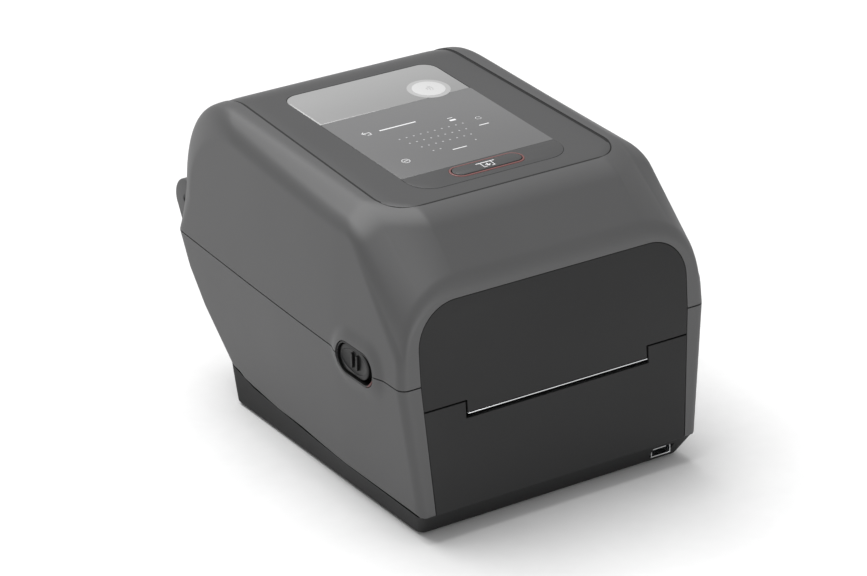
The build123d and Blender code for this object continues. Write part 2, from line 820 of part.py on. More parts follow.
with BuildPart() as motor_pinion:
    with BuildSketch(Plane.YZ.offset(gear_x)):
        with Locations(motor_at):
            Polygon(*gear_points(motor_teeth, motor_turn), align=None)
    extrude(amount=gear_face)
    with Locations(Location((gear_x, motor_at[0], motor_at[1]), (0, 90, 0))):
        Cylinder(2.5, -plate_inner - gear_x, align=(Align.CENTER, Align.CENTER, Align.MIN))
write(motor_pinion, "motor_pinion")

with BuildPart() as label_roll:
    with Locations((0, roll_y, roll_z)):
        Cylinder(roll_radius, label_width, rotation=(0, 90, 0))
        Cylinder(core_radius, label_width, rotation=(0, 90, 0), mode=Mode.SUBTRACT)
write(label_roll, "label_roll")

with BuildPart() as roll_core:
    with Locations((0, roll_y, roll_z)):
        Cylinder(core_radius, label_width, rotation=(0, 90, 0))
        Cylinder(core_bore, label_width, rotation=(0, 90, 0), mode=Mode.SUBTRACT)
write(roll_core, "roll_core")

arm_x = label_width / 2 + 0.6
arm_thick = 6.0
for side, name in ((-1, "holder_left"), (1, "holder_right")):
    with BuildPart() as holder:
        with BuildSketch(Plane.YZ.offset(side * arm_x)):
            with BuildLine():
                Polyline((roll_y - 24, tub_floor + 0.6), (roll_y + 24, tub_floor + 0.6))
                Line((roll_y + 24, tub_floor + 0.6), (roll_y + 18, roll_z))
                ThreePointArc((roll_y + 18, roll_z), (roll_y, roll_z + 18), (roll_y - 18, roll_z))
                Line((roll_y - 18, roll_z), (roll_y - 24, tub_floor + 0.6))
            make_face()
        extrude(amount=side * arm_thick)
        # hub in the core
        with Locations(Location((side * arm_x, roll_y, roll_z), (0, -side * 90, 0))):
            Cylinder(core_bore - shaft_gap, 7.6, align=(Align.CENTER, Align.CENTER, Align.MIN))
        with Locations(Location((side * (arm_x + arm_thick), roll_y, roll_z), (0, -side * 90, 0))):
            Cylinder(9.0, arm_thick + 5, align=(Align.CENTER, Align.CENTER, Align.MIN), mode=Mode.SUBTRACT)
        # foot on the rods, with the rack towards the middle
        with Locations((side * (arm_x - 9), roll_y, tub_floor + 4.1)):
            Box(18.0, 44, 7.0)
        with BuildSketch(Plane.XY.offset(tub_floor + 1.6)):
            line = roll_y + side * pitch_radius(rack_teeth)
            points = rack_points(-11 if side < 0 else -6, 0, -side)
            Polygon(*[(x, y + line) for x, y in points], align=None)
        extrude(amount=gear_face)
        reach = 12.0
        with Locations((side * (arm_x - 18 - reach / 2), line + side * 2.6, tub_floor + 4.1)):
            Box(reach, 3.4, gear_face)
        for rod_y in rod_lines:
            with Locations((side * arm_x, rod_y, tub_floor + rod_lift)):
                Cylinder(rod_radius + shaft_gap, 60, rotation=(0, 90, 0), mode=Mode.SUBTRACT)
    write(holder, name)

with BuildPart() as holder_pinion:
    with BuildSketch(Plane.XY.offset(tub_floor + 1.6)):
        with Locations((0, roll_y)):
            Polygon(*gear_points(rack_teeth, 0), align=None)
            Circle(2.0 + shaft_gap, mode=Mode.SUBTRACT)
    extrude(amount=gear_face)
write(holder_pinion, "holder_pinion")

with BuildPart() as gap_sensor:
    with Locations((0, sensor_y, platen_z - sensor_drop)):
        Box(14, 11, 7.5)
        Cylinder(sensor_rod_radius + shaft_gap, 20, rotation=(0, 90, 0), mode=Mode.SUBTRACT)
    with Locations((0, sensor_y, platen_z - sensor_drop + 3.75)):
        Box(6, 5, 0.8, align=(Align.CENTER, Align.CENTER, Align.MIN))
write(gap_sensor, "gap_sensor")

with BuildPart() as label_web:
    # from the underside of the roll, over the platen, down to the slot
    over = platen_z + platen_radius + 0.2
    run = sqrt((roll_y - platen_y) ** 2 + (roll_z - over) ** 2)
    fall = atan2(roll_z - over, roll_y - platen_y) - asin((roll_radius + 0.2) / run)
    leave = (roll_y + (roll_radius + 0.2) * sin(fall), roll_z - (roll_radius + 0.2) * cos(fall))
    with BuildSketch(Plane.YZ):
        with BuildLine():
            Polyline(
                leave,
                (platen_y + 2, over),
                (platen_y - 1, over),
                (platen_y - 13, over - 2.4),
                (platen_y - 13, over - 2.4 + web_thickness),
                (platen_y - 1, over + web_thickness),
                (platen_y + 2, over + web_thickness),
                (leave[0] + 0.02, leave[1] + web_thickness),
                close=True,
            )
        make_face()
    extrude(amount=label_width / 2, both=True)
write(label_web, "label_web")

# ---- cover pieces ----
def insert_outline(grow):
    """The top insert seen from above: rounded front corners, narrowing to the rear, open over the back."""
    with BuildSketch(Plane.XY.offset(hinge_z + 26)) as outline:
        with BuildLine():
            Polyline(
                (-insert_front_half, insert_front_y),
                (insert_front_half, insert_front_y),
                (insert_rear_half, insert_rear_y),
                (insert_rear_half, case_depth),
                (-insert_rear_half, case_depth),
                (-insert_rear_half, insert_rear_y),
                close=True,
            )
        make_face()
        fillet(outline.vertices().group_by(Axis.Y)[0], radius=insert_round)
        if grow:
            offset(amount=grow, kind=Kind.INTERSECTION, mode=Mode.REPLACE)
    return outline.sketch


def insert_skin(grow):
    """The cover's outer skin inside the insert's outline, as deep as the insert."""
    with BuildPart() as skin:
        add(insert_outline(grow))
        extrude(amount=cover_rise)
        add(cover_outer, mode=Mode.INTERSECT)
        add(insert_under, mode=Mode.SUBTRACT)
    return skin.part


with BuildPart() as cover_shell:
    add(cover_outer)
    add(bulge_rims)
    add(cover_hollow, mode=Mode.SUBTRACT)
    # thicker roof under the insert
    with BuildSketch(roof_plane.offset(-roof_wall)):
        with Locations((0, -8)):
            Rectangle(2 * (insert_front_half + 2), 150)
    extrude(amount=roof_wall - wall + 0.2)
    # nothing below the seam
    with BuildSketch(Plane.XY.offset(seam_height + seam_gap / 2)):
        Rectangle(3 * case_width, 3 * case_depth)
    extrude(amount=-80, mode=Mode.SUBTRACT)
    add(insert_skin(move_gap / 2), mode=Mode.SUBTRACT)
    with BuildSketch(roof_plane):
        with Locations((0, -4)):
            Rectangle(118, 138)
    extrude(amount=-20, mode=Mode.SUBTRACT)
    with BuildSketch(front_plane):
        add(upper_panel_sketch(fit_gap))
        Rectangle(2 * panel_half(seam_height) + 2 * fit_gap, 2 * split_drop)
    extrude(amount=-8, both=True, mode=Mode.SUBTRACT)
    for side in (-1, 1):
        with BuildSketch(Plane.YZ.offset(side * (half - 14))):
            with Locations((latch_y, latch_z)):
                SlotOverall(latch_length, latch_height)
        extrude(amount=side * 30, mode=Mode.SUBTRACT)
        # notch round the case's hinge lug
        notch_face = side * (half - lug_inset + 0.6)
        with BuildSketch(Plane.YZ.offset(notch_face)):
            with Locations((hinge_y, hinge_z)):
                Circle(lug_radius + 0.8)
            with Locations((hinge_y + 4, seam_height)):
                Rectangle(36, 2 * hinge_rise)
        extrude(amount=-side * (lug_width + 1.2), mode=Mode.SUBTRACT)
        # knuckle on the rear wall, inside the lug
        with BuildSketch(Plane.YZ.offset(side * knuckle_outer)):
            with Locations((hinge_y, hinge_z)):
                Circle(knuckle_radius)
            with Locations((hinge_y - 2, hinge_z + 6)):
                Rectangle(8, 20)
        extrude(amount=-side * knuckle_width)
    for side in (-1, 1):
        with Locations(Location((side * (pin_start - 0.4), hinge_y, hinge_z), (0, side * 90, 0))):
            Cylinder(
                hinge_pin_radius + shaft_gap,
                knuckle_width + 4,
                align=(Align.CENTER, Align.CENTER, Align.MIN),
                mode=Mode.SUBTRACT,
            )
write(cover_shell, "cover_shell")

with BuildPart() as front_panel_upper:
    with BuildSketch(front_plane):
        add(upper_panel_sketch(0))
    extrude(amount=-panel_thickness)
write(front_panel_upper, "front_panel_upper")

with BuildPart() as tear_bar:
    bar = rise(seam_height - tongue_drop)
    with BuildSketch(front_plane.offset(0.4)):
        with Locations((0, bar - 0.6)):
            Rectangle(2 * tongue_half_width, 1.2)
    extrude(amount=-5.0)
write(tear_bar, "tear_bar")

with BuildPart() as top_insert:
    add(insert_skin(0))
    # pocket for lens, window and bezel
    with BuildSketch(roof_plane):
        with Locations((0, (bezel_front_y + window_rear_y) / 2)):
            pocket = Rectangle(2 * (lens_half_width + fit_gap), window_rear_y - bezel_front_y + 2 * fit_gap)
        fillet(pocket.vertices().group_by(Axis.Y)[-1], radius=window_round)
        fillet(pocket.vertices().group_by(Axis.Y)[0], radius=bezel_round)
    extrude(amount=-lens_thickness, mode=Mode.SUBTRACT)
    # through openings for the display module and the button
    with BuildSketch(roof_plane):
        with Locations((0, (lens_front_y + lens_rear_y) / 2)):
            Rectangle(100, 76)
        with Locations((0, button_y)):
            SlotOverall(button_length + 2, button_width + 2)
    extrude(amount=-8, mode=Mode.SUBTRACT)
    # posts for the display board
    with BuildSketch(roof_plane.offset(-insert_depth)):
        with Locations(*[(x, y) for x in (-50, 50) for y in (-52, 32)]):
            Circle(2.4)
    extrude(amount=-4.0)
write(top_insert, "top_insert")

with BuildPart() as display_lens:
    with BuildSketch(roof_plane):
        with Locations((0, (lens_front_y + lens_rear_y) / 2)):
            Rectangle(2 * lens_half_width, lens_rear_y - lens_front_y - fit_gap)
    extrude(amount=-lens_thickness)
write(display_lens, "display_lens")

with BuildPart() as display_module:
    with BuildSketch(roof_plane.offset(-lens_thickness - 0.1)):
        with Locations((0, (lens_front_y + lens_rear_y) / 2)):
            Rectangle(98, 74)
    extrude(amount=-3.4)
write(display_module, "display_module")

with BuildPart() as display_board:
    with BuildSketch(roof_plane.offset(-insert_depth - 4.0)):
        with Locations((0, (lens_front_y + lens_rear_y) / 2 - 6)):
            Rectangle(108, 112)
    extrude(amount=-1.6)
    # the switch under the feed button
    with BuildSketch(roof_plane.offset(-insert_depth - 4.0)):
        with Locations((0, button_y)):
            Rectangle(6, 6)
    extrude(amount=2.4)
write(display_board, "display_board")

with BuildPart() as window_pane:
    with BuildSketch(roof_plane):
        with Locations((0, (lens_rear_y + window_rear_y) / 2)):
            pane = Rectangle(2 * lens_half_width, window_rear_y - lens_rear_y - fit_gap)
        fillet(pane.vertices().group_by(Axis.Y)[-1], radius=window_round)
        with Locations(disc_place):
            Circle(disc_radius + 0.05, mode=Mode.SUBTRACT)
    extrude(amount=-lens_thickness)
write(window_pane, "window_pane")

with BuildPart() as reader_disc:
    with BuildSketch(roof_plane.offset(0.2)):
        with Locations(disc_place):
            Circle(disc_radius)
    extrude(amount=-lens_thickness - 0.2)
write(reader_disc, "reader_disc")

with BuildPart() as button_bezel:
    with BuildSketch(roof_plane):
        with Locations((0, (bezel_front_y + lens_front_y) / 2)):
            strip = Rectangle(2 * lens_half_width, lens_front_y - bezel_front_y - fit_gap)
        fillet(strip.vertices().group_by(Axis.Y)[0], radius=bezel_round)
        with Locations((0, button_y)):
            SlotOverall(button_length, button_width, mode=Mode.SUBTRACT)
    extrude(amount=-lens_thickness)
write(button_bezel, "button_bezel")

with BuildPart() as button_ring:
    with BuildSketch(roof_plane.offset(0.3)):
        with Locations((0, button_y)):
            SlotOverall(button_length, button_width)
            SlotOverall(button_length - 2 * ring_width, button_width - 2 * ring_width, mode=Mode.SUBTRACT)
    extrude(amount=-lens_thickness - 0.3)
write(button_ring, "button_ring")

with BuildPart() as feed_button:
    play = 2 * (ring_width + move_gap)
    with BuildSketch(roof_plane.offset(0.7)):
        with Locations((0, button_y)):
            SlotOverall(button_length - play, button_width - play)
    extrude(amount=-2.6)
    with BuildSketch(roof_plane):
        with Locations((0, button_y)):
            Rectangle(5, 4)
    extrude(amount=-3.0)
write(feed_button, "feed_button")

# ---- frame inside the cover ----
head_z = platen_z + platen_radius + 0.7
pivot_at = (platen_y + 26, head_z + 13.5)
supply_at = (platen_y + 66, seam_height + 32)
takeup_at = (platen_y + 26, seam_height + 42)
ribbon_reach = pitch_radius(motor_teeth + idler_teeth)
to_ribbon_motor = radians(35)
ribbon_motor_at = (
    takeup_at[0] + ribbon_reach * cos(to_ribbon_motor),
    takeup_at[1] + ribbon_reach * sin(to_ribbon_motor),
)
frame_plate = 2.0
plate_face = arm_half + frame_plate
ribbon_gear_x = plate_face + 1.0
under_roof = roof_wall / cos(radians(insert_angle))

with BuildPart() as cover_frame:
    for side in (-1, 1):
        with BuildSketch(Plane.YZ.offset(side * arm_half)):
            with BuildLine():
                Polyline(
                    (-66, roof_z(-66) - under_roof),
                    (-96, roof_top - 24),
                    (-108, seam_height + 30),
                    (-110, pivot_at[1] - 3),
                    (-84, pivot_at[1] - 5),
                    (-40, seam_height + 18),
                    (60, seam_height + 58),
                    (60, roof_z(60) - under_roof),
                    close=True,
                )
            make_face()
            with Locations(pivot_at):
                Circle(2.0, mode=Mode.SUBTRACT)
            with Locations(supply_at, takeup_at):
                Circle(4.0 + shaft_gap, mode=Mode.SUBTRACT)
            if side > 0:
                with Locations(ribbon_motor_at):
                    Circle(3.0, mode=Mode.SUBTRACT)
        extrude(amount=side * frame_plate)
    # beams that tie the plates: one over the head, one at the rear
    with Locations((0, -104, seam_height + 8)):
        Box(2 * arm_half, 7, 10)
    with Locations((0, 54, roof_z(54) - 20)):
        Box(2 * arm_half, 6, 8)
write(cover_frame, "cover_frame")

with BuildPart() as head_pivot:
    with Locations((0, *pivot_at)):
        Cylinder(2.0, 2 * plate_face, rotation=(0, 90, 0))
write(head_pivot, "head_pivot")

with BuildPart() as print_head:
    with Locations((0, platen_y + 3, head_z)):
        Box(label_width + 12, 22, 4.0, align=(Align.CENTER, Align.CENTER, Align.MIN))
write(print_head, "print_head")

with BuildPart() as head_bracket:
    with Locations((0, platen_y + 6, head_z + 4.0)):
        Box(label_width + 12, 28, 4.0, align=(Align.CENTER, Align.CENTER, Align.MIN))
        with Locations(*[(x, -1, 0) for x in range(-50, 51, 10)]):
            Box(4, 24, 2.5, align=(Align.CENTER, Align.CENTER, Align.MIN), mode=Mode.SUBTRACT)
    for side in (-1, 1):
        with BuildSketch(Plane.YZ.offset(side * (label_width / 2 + 4))):
            with BuildLine():
                Polyline(
                    (platen_y + 12, head_z + 5),
                    (platen_y + 20, head_z + 5),
                    (pivot_at[0] + 4, pivot_at[1] - 2),
                    (pivot_at[0] + 4, pivot_at[1] + 4),
                    (pivot_at[0] - 4, pivot_at[1] + 4),
                    (platen_y + 12, head_z + 8),
                    close=True,
                )
            make_face()
            with Locations(pivot_at):
                Circle(2.0 + shaft_gap, mode=Mode.SUBTRACT)
        extrude(amount=side * 2.0)
write(head_bracket, "head_bracket")

with BuildPart() as head_springs:
    spring_low = head_z + 8.2
    spring_high = seam_height + 3 - 0.2
    spring_turns = 5
    for x in (-30, 30):
        spring_length = spring_high - spring_low - 1
        turns = Helix(pitch=spring_length / spring_turns, height=spring_length, radius=3.0)
        start = Plane(origin=turns @ 0, z_dir=turns % 0)
        with BuildSketch(start, mode=Mode.PRIVATE) as wire:
            Circle(0.45)
        coil = sweep(wire.sketch, path=turns, is_frenet=True, mode=Mode.PRIVATE)
        with Locations((x, -104, spring_low + 0.5)):
            add(coil)
write(head_springs, "head_springs")

with BuildPart() as ribbon_supply_spindle:
    with Locations((0, *supply_at)):
        Cylinder(4.0, 2 * plate_face, rotation=(0, 90, 0))
        Cylinder(8.0, label_width + 10, rotation=(0, 90, 0))
write(ribbon_supply_spindle, "ribbon_supply_spindle")

with BuildPart() as ribbon_supply_roll:
    with Locations((0, *supply_at)):
        Cylinder(20.0, label_width + 4, rotation=(0, 90, 0))
        Cylinder(8.0, label_width + 4, rotation=(0, 90, 0), mode=Mode.SUBTRACT)
write(ribbon_supply_roll, "ribbon_supply_roll")

with BuildPart() as ribbon_takeup_spindle:
    with Locations((0, *takeup_at)):
        Cylinder(4.0, 2 * plate_face, rotation=(0, 90, 0))
        Cylinder(8.0, label_width + 10, rotation=(0, 90, 0))
    with Locations((plate_face, *takeup_at)):
        Cylinder(4.0, 14.0, rotation=(0, 90, 0))
write(ribbon_takeup_spindle, "ribbon_takeup_spindle")

with BuildPart() as ribbon_takeup_roll:
    with Locations((0, *takeup_at)):
        Cylinder(12.0, label_width + 4, rotation=(0, 90, 0))
        Cylinder(8.0, label_width + 4, rotation=(0, 90, 0), mode=Mode.SUBTRACT)
write(ribbon_takeup_roll, "ribbon_takeup_roll")

with BuildPart() as ribbon_gear:
    with BuildSketch(Plane.YZ.offset(ribbon_gear_x)):
        with Locations(takeup_at):
            Polygon(*gear_points(idler_teeth, to_ribbon_motor), align=None)
            Circle(4.0, mode=Mode.SUBTRACT)
    extrude(amount=gear_face)
write(ribbon_gear, "ribbon_gear")

with BuildPart() as ribbon_pinion:
    with BuildSketch(Plane.YZ.offset(ribbon_gear_x)):
        with Locations(ribbon_motor_at):
            Polygon(*gear_points(motor_teeth, to_ribbon_motor + pi + pi / motor_teeth), align=None)
    extrude(amount=gear_face)
    with Locations((arm_half - 2, *ribbon_motor_at)):
        Cylinder(1.5, 2 * (ribbon_gear_x - arm_half + 2), rotation=(0, 90, 0))
write(ribbon_pinion, "ribbon_pinion")

with BuildPart() as ribbon_motor:
    with Locations(Location((arm_half, *ribbon_motor_at), (0, -90, 0))):
        Cylinder(11.0, 18.0, align=(Align.CENTER, Align.CENTER, Align.MIN))
        Cylinder(1.5 + shaft_gap, 12.0, align=(Align.CENTER, Align.CENTER, Align.MIN), mode=Mode.SUBTRACT)
write(ribbon_motor, "ribbon_motor")

# ---- latches ----
cup_face = half + bulge - 0.8
cup_length = latch_length - 2 * fit_gap
cup_height = latch_height - 2 * fit_gap
with BuildPart() as latch_housings:
    for side in (-1, 1):
        with BuildSketch(Plane.YZ.offset(side * cup_face)):
            with Locations((latch_y, latch_z)):
                SlotOverall(cup_length, cup_height)
        extrude(amount=-side * cup_depth)
        with BuildSketch(Plane.YZ.offset(side * cup_face)):
            with Locations((latch_y, latch_z)):
                SlotOverall(cup_length - 2 * cup_wall, cup_height - 2 * cup_wall)
        extrude(amount=-side * (cup_depth - cup_wall), mode=Mode.SUBTRACT)
        with BuildSketch(Plane.YZ.offset(side * cup_face)):
            with Locations((latch_y, latch_z)):
                Rectangle(7 + 2 * latch_travel, 7)
        extrude(amount=-side * 20, mode=Mode.SUBTRACT)
write(latch_housings, "latch_housings")

with BuildPart() as latch_flags:
    for side in (-1, 1):
        with BuildSketch(Plane.YZ.offset(side * (cup_face - cup_depth + cup_wall))):
            with Locations((latch_y, latch_z)):
                SlotOverall(cup_length - 2 * cup_wall - 0.4, cup_height - 2 * cup_wall - 0.4)
            with Locations((latch_y + 5, latch_z)):
                Rectangle(cup_length - 2, cup_height, mode=Mode.SUBTRACT)
        extrude(amount=side * 0.8)
write(latch_flags, "latch_flags")

button_long = cup_length - 2 * cup_wall - latch_travel - 2 * move_gap
for side, name in ((-1, "latch_left"), (1, "latch_right")):
    with BuildPart() as latch:
        rear = latch_y + latch_travel / 2
        with BuildSketch(Plane.YZ.offset(side * (cup_face - 1.2))):
            with Locations((rear, latch_z)):
                SlotOverall(button_long, cup_height - 2 * cup_wall - 2 * move_gap)
        extrude(amount=-side * 4.6)
        for rib_y in (-3.5, 3.5):
            with Locations((side * (cup_face - 0.8), rear + rib_y, latch_z)):
                Box(1.6, 1.8, 9.0)
        # stem through the housing floor, and the hook behind it
        with Locations((side * (cup_face - 8), latch_y + latch_travel / 2 + 1.5, latch_z)):
            Box(11.0, 5.0, 5.5)
        hook_x = side * (cup_face - 13.5)
        with Locations((hook_x, latch_y + 0.5, latch_z)):
            Box(2.0, 9.0, 5.5)
    write(latch, name)
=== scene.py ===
# %% [markdown]
# # A desktop label maker
# This lesson dresses the working model of a four-inch label printer: a satin grey clamshell cover with
# a touch display on top, over a flared lower case with a black front. The working model gives every
# size, place and joint. What is made here only gives the pieces their real surfaces.

# %% Load the working model
import json
import math

import bmesh
import bpy
import numpy as np
from mathutils import Matrix, Vector

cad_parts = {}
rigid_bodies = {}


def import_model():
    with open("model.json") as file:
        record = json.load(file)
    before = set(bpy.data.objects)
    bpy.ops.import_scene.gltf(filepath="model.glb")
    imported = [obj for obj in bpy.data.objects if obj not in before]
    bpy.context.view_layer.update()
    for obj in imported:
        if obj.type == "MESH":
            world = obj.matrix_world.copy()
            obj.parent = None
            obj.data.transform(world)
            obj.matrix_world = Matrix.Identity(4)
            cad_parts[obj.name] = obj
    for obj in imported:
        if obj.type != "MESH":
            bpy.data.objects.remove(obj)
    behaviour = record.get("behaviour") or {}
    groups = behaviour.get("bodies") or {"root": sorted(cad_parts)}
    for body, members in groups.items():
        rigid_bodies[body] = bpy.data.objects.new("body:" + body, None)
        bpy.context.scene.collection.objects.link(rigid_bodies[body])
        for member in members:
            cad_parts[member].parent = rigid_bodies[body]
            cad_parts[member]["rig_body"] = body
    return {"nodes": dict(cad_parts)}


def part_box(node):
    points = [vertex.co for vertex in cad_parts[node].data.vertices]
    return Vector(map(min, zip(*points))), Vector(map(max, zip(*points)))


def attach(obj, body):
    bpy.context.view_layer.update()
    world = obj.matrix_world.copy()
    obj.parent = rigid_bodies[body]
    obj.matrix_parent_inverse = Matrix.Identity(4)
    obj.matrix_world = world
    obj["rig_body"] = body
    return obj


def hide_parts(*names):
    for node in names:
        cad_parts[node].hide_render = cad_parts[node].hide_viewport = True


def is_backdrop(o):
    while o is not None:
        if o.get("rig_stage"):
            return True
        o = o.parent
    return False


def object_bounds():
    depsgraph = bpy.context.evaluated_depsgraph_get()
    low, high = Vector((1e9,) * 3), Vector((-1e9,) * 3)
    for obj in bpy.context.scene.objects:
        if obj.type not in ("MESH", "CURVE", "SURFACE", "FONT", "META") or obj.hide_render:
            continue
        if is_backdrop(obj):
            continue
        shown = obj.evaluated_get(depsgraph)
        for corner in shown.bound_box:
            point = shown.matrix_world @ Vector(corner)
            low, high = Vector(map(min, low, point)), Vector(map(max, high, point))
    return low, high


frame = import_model()
cad_low, cad_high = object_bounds()

# %% [markdown]
# Everything is modelled in millimetres, because wall thicknesses and gaps are easy to read that way,
# and turned into metres when a piece is finished. The main sizes are read from the working model.

# %% Sizes in millimetres
MM = 0.001


def box_mm(node):
    low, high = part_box(node)
    return low / MM, high / MM


cover_low, cover_high = box_mm("cover_shell")
panel_low, panel_high = box_mm("front_panel_upper")
lens_low, lens_high = box_mm("display_lens")
pane_low, pane_high = box_mm("window_pane")
bezel_low, bezel_high = box_mm("button_bezel")
ring_low, ring_high = box_mm("button_ring")
disc_low, disc_high = box_mm("reader_disc")
pins_low, pins_high = box_mm("hinge_pins")
sill_top = box_mm("front_panel_lower")[1].z
tongue_half = box_mm("tear_bar")[1].x
case_bottom = box_mm("lower_case")[0].z
bulge = 2.4
seam_gap = 0.5
half = cover_high.x - bulge
seam = cover_low.z - seam_gap / 2
roof_top = cover_high.z
front = -140.0
back = 131.0
lean = math.radians(5.57)
draft = math.radians(2.6)
roof_slope = 0.038
hinge_y = (pins_low.y + pins_high.y) / 2
hinge_z = (pins_low.z + pins_high.z) / 2
print("half width", round(half, 2), "seam", round(seam, 2), "roof", round(roof_top, 2))
print("hinge", round(hinge_y, 2), round(hinge_z, 2))

# %% [markdown]
# The camera stands to the left of the front, a little above the roof. A long lens from far away keeps
# the upright edges nearly parallel, as in a catalogue picture of such a machine.

# %% Camera
camera_place = Vector((-1.1164, -1.6861, 1.0315))
camera_right = Vector((0.8329, -0.5534, 0.0))
camera_up = Vector((0.2354, 0.3542, 0.9050))
camera_back = Vector((-0.5008, -0.7538, 0.4253))
camera_data = bpy.data.cameras.new("camera")
camera_data.lens = 156.2
camera_data.sensor_width = 36.0
camera_data.clip_end = 50.0
camera = bpy.data.objects.new("camera", camera_data)
bpy.context.scene.collection.objects.link(camera)
bpy.context.scene.camera = camera
camera_turn = Matrix((camera_right, camera_up, camera_back)).transposed().to_4x4()
camera.matrix_world = Matrix.Translation(camera_place) @ camera_turn
print("camera lens", round(camera_data.lens, 1))

# %% [markdown]
# The floor is a plain pale sheet. The light comes from three sources, because one alone leaves either
# flat faces or black ones: the white surroundings fill, a broad sun from behind makes the roof and the
# shoulders brighter than the sides, and a low lamp keeps the front readable. The Standard view leaves
# the floor white.

# %% Floor and lamps
floor_mesh = bpy.data.meshes.new("floor")
shape = bmesh.new()
bmesh.ops.create_grid(shape, x_segments=1, y_segments=1, size=12.0)
shape.to_mesh(floor_mesh)
shape.free()
floor = bpy.data.objects.new("floor", floor_mesh)
bpy.context.scene.collection.objects.link(floor)
floor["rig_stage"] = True


def lamp(name, place, aim, size, power):
    """A square soft lamp at place that shines towards aim."""
    data = bpy.data.lights.new(name, "AREA")
    data.size = size
    data.energy = power
    light = bpy.data.objects.new(name, data)
    light.location = place
    light.rotation_euler = (Vector(aim) - Vector(place)).to_track_quat("-Z", "Y").to_euler()
    bpy.context.scene.collection.objects.link(light)


sun_data = bpy.data.lights.new("high_sun", "SUN")
sun_data.energy = 3.3
sun_data.angle = math.radians(55)
sun = bpy.data.objects.new("high_sun", sun_data)
sun.rotation_euler = Vector((-0.12, 0.40, 0.90)).to_track_quat("Z", "Y").to_euler()
bpy.context.scene.collection.objects.link(sun)
centre = (0.0, 0.0, 0.09)
lamp("front_lamp", (0.1, -1.9, 0.16), centre, 0.8, 13.0)
world = bpy.data.worlds.new("studio")
world.use_nodes = True
surroundings = world.node_tree.nodes["Background"].inputs
surroundings["Color"].default_value = (1.0, 1.0, 1.0, 1.0)
surroundings["Strength"].default_value = 0.5
bpy.context.scene.world = world
bpy.context.scene.view_settings.view_transform = "Standard"
print("sun", round(sun_data.energy, 1), "surroundings", surroundings["Strength"].default_value)

# %% [markdown]
# Finishes are node trees. A small class wraps a socket, so that a line of arithmetic adds its own
# Math nodes, and one method adds any other node. Only the shader's colour, roughness and bump vary.


# %% Node helpers
class Signal:
    """A value in a node tree that can be used in arithmetic."""

    def __init__(self, tree, socket):
        self.tree = tree
        self.socket = socket

    def _math(self, operation, first, second):
        node = self.tree.nodes.new("ShaderNodeMath")
        node.operation = operation
        for value, socket in zip((first, second), node.inputs):
            if isinstance(value, Signal):
                self.tree.links.new(value.socket, socket)
            else:
                socket.default_value = value
        return Signal(self.tree, node.outputs[0])

    def __add__(self, other):
        return self._math("ADD", self, other)

    def __mul__(self, other):
        return self._math("MULTIPLY", self, other)

    __radd__ = __add__
    __rmul__ = __mul__


class Finish:
    """A material whose shader sockets are set by name, with a method that adds any node."""

    def __init__(self, name, fixed):
        self.material = bpy.data.materials.new(name)
        self.material.use_nodes = True
        self.tree = self.material.node_tree
        self.shader = self.tree.nodes["Principled BSDF"]
        self.set(self.shader, fixed)

    def set(self, node, values):
        for name, value in values.items():
            if isinstance(value, Signal):
                self.tree.links.new(value.socket, node.inputs[name])
            else:
                node.inputs[name].default_value = value

    def node(self, kind, settings, values, out=0):
        made = self.tree.nodes.new(kind)
        for name, value in settings.items():
            setattr(made, name, value)
        self.set(made, values)
        return Signal(self.tree, made.outputs[out])

    def vary(self, values):
        self.set(self.shader, values)
        return self.material


def shade_of(colour, factor):
    return tuple(min(1.0, c * factor) for c in colour) + (1.0,)


def blend_of(finish, share, first, second):
    """A colour that goes from first to second as share goes from 0 to 1."""
    return finish.node("ShaderNodeMix", {"data_type": "RGBA"}, {0: share, 6: first, 7: second}, 2)


print("helpers ready for", [kind.__name__ for kind in (Signal, Finish)])


# %% [markdown]
# Moulded plastic is never one flat colour. The mould is spark eroded, which leaves a fine even grain,
# and the resin flows give very broad, faint changes of tone and gloss.


# %% Moulded plastic
def moulded(name, colour, roughness, grain=0.0007, depth=0.00003, fixed=None):
    finish = Finish(name, {"Specular IOR Level": 0.45, **(fixed or {})})
    where = finish.node("ShaderNodeTexCoord", {}, {}, "Object")
    fine = finish.node("ShaderNodeTexNoise", {}, {"Vector": where, "Scale": 1 / grain, "Detail": 2.0})
    broad = finish.node("ShaderNodeTexNoise", {}, {"Vector": where, "Scale": 14.0, "Detail": 2.0})
    tone = blend_of(finish, broad * 0.7 + fine * 0.3, shade_of(colour, 0.93), shade_of(colour, 1.07))
    bump = finish.node("ShaderNodeBump", {}, {"Height": fine, "Distance": depth, "Strength": 0.5})
    gloss = broad * 0.10 + fine * 0.08 + (roughness - 0.09)
    return finish.vary({"Base Color": tone, "Roughness": gloss, "Normal": bump})


cover_plastic = moulded("cover_plastic", (0.070, 0.070, 0.071), 0.48)
case_plastic = moulded("case_plastic", (0.068, 0.068, 0.069), 0.5)
insert_plastic = moulded("insert_plastic", (0.050, 0.050, 0.051), 0.45)
panel_plastic = moulded(
    "panel_plastic", (0.012, 0.012, 0.0123), 0.58, grain=0.0009, depth=0.00005,
    fixed={"Specular IOR Level": 0.28},
)
tray_plastic = moulded("tray_plastic", (0.011, 0.011, 0.0113), 0.6, fixed={"Specular IOR Level": 0.25})
button_plastic = moulded("button_plastic", (0.008, 0.008, 0.0082), 0.34, fixed={"Specular IOR Level": 0.3})
bezel_plastic = moulded("bezel_plastic", (0.047, 0.047, 0.048), 0.4)
inner_plastic = moulded("inner_plastic", (0.17, 0.17, 0.175), 0.55)
acetal = moulded("acetal", (0.68, 0.67, 0.62), 0.4, fixed={"Subsurface Weight": 0.05})
soft_rubber = moulded("soft_rubber", (0.028, 0.028, 0.028), 0.72, depth=0.00006)
red_plastic = moulded("red_plastic", (0.085, 0.008, 0.007), 0.32)
ring_plastic = moulded("ring_plastic", (0.17, 0.065, 0.062), 0.35)
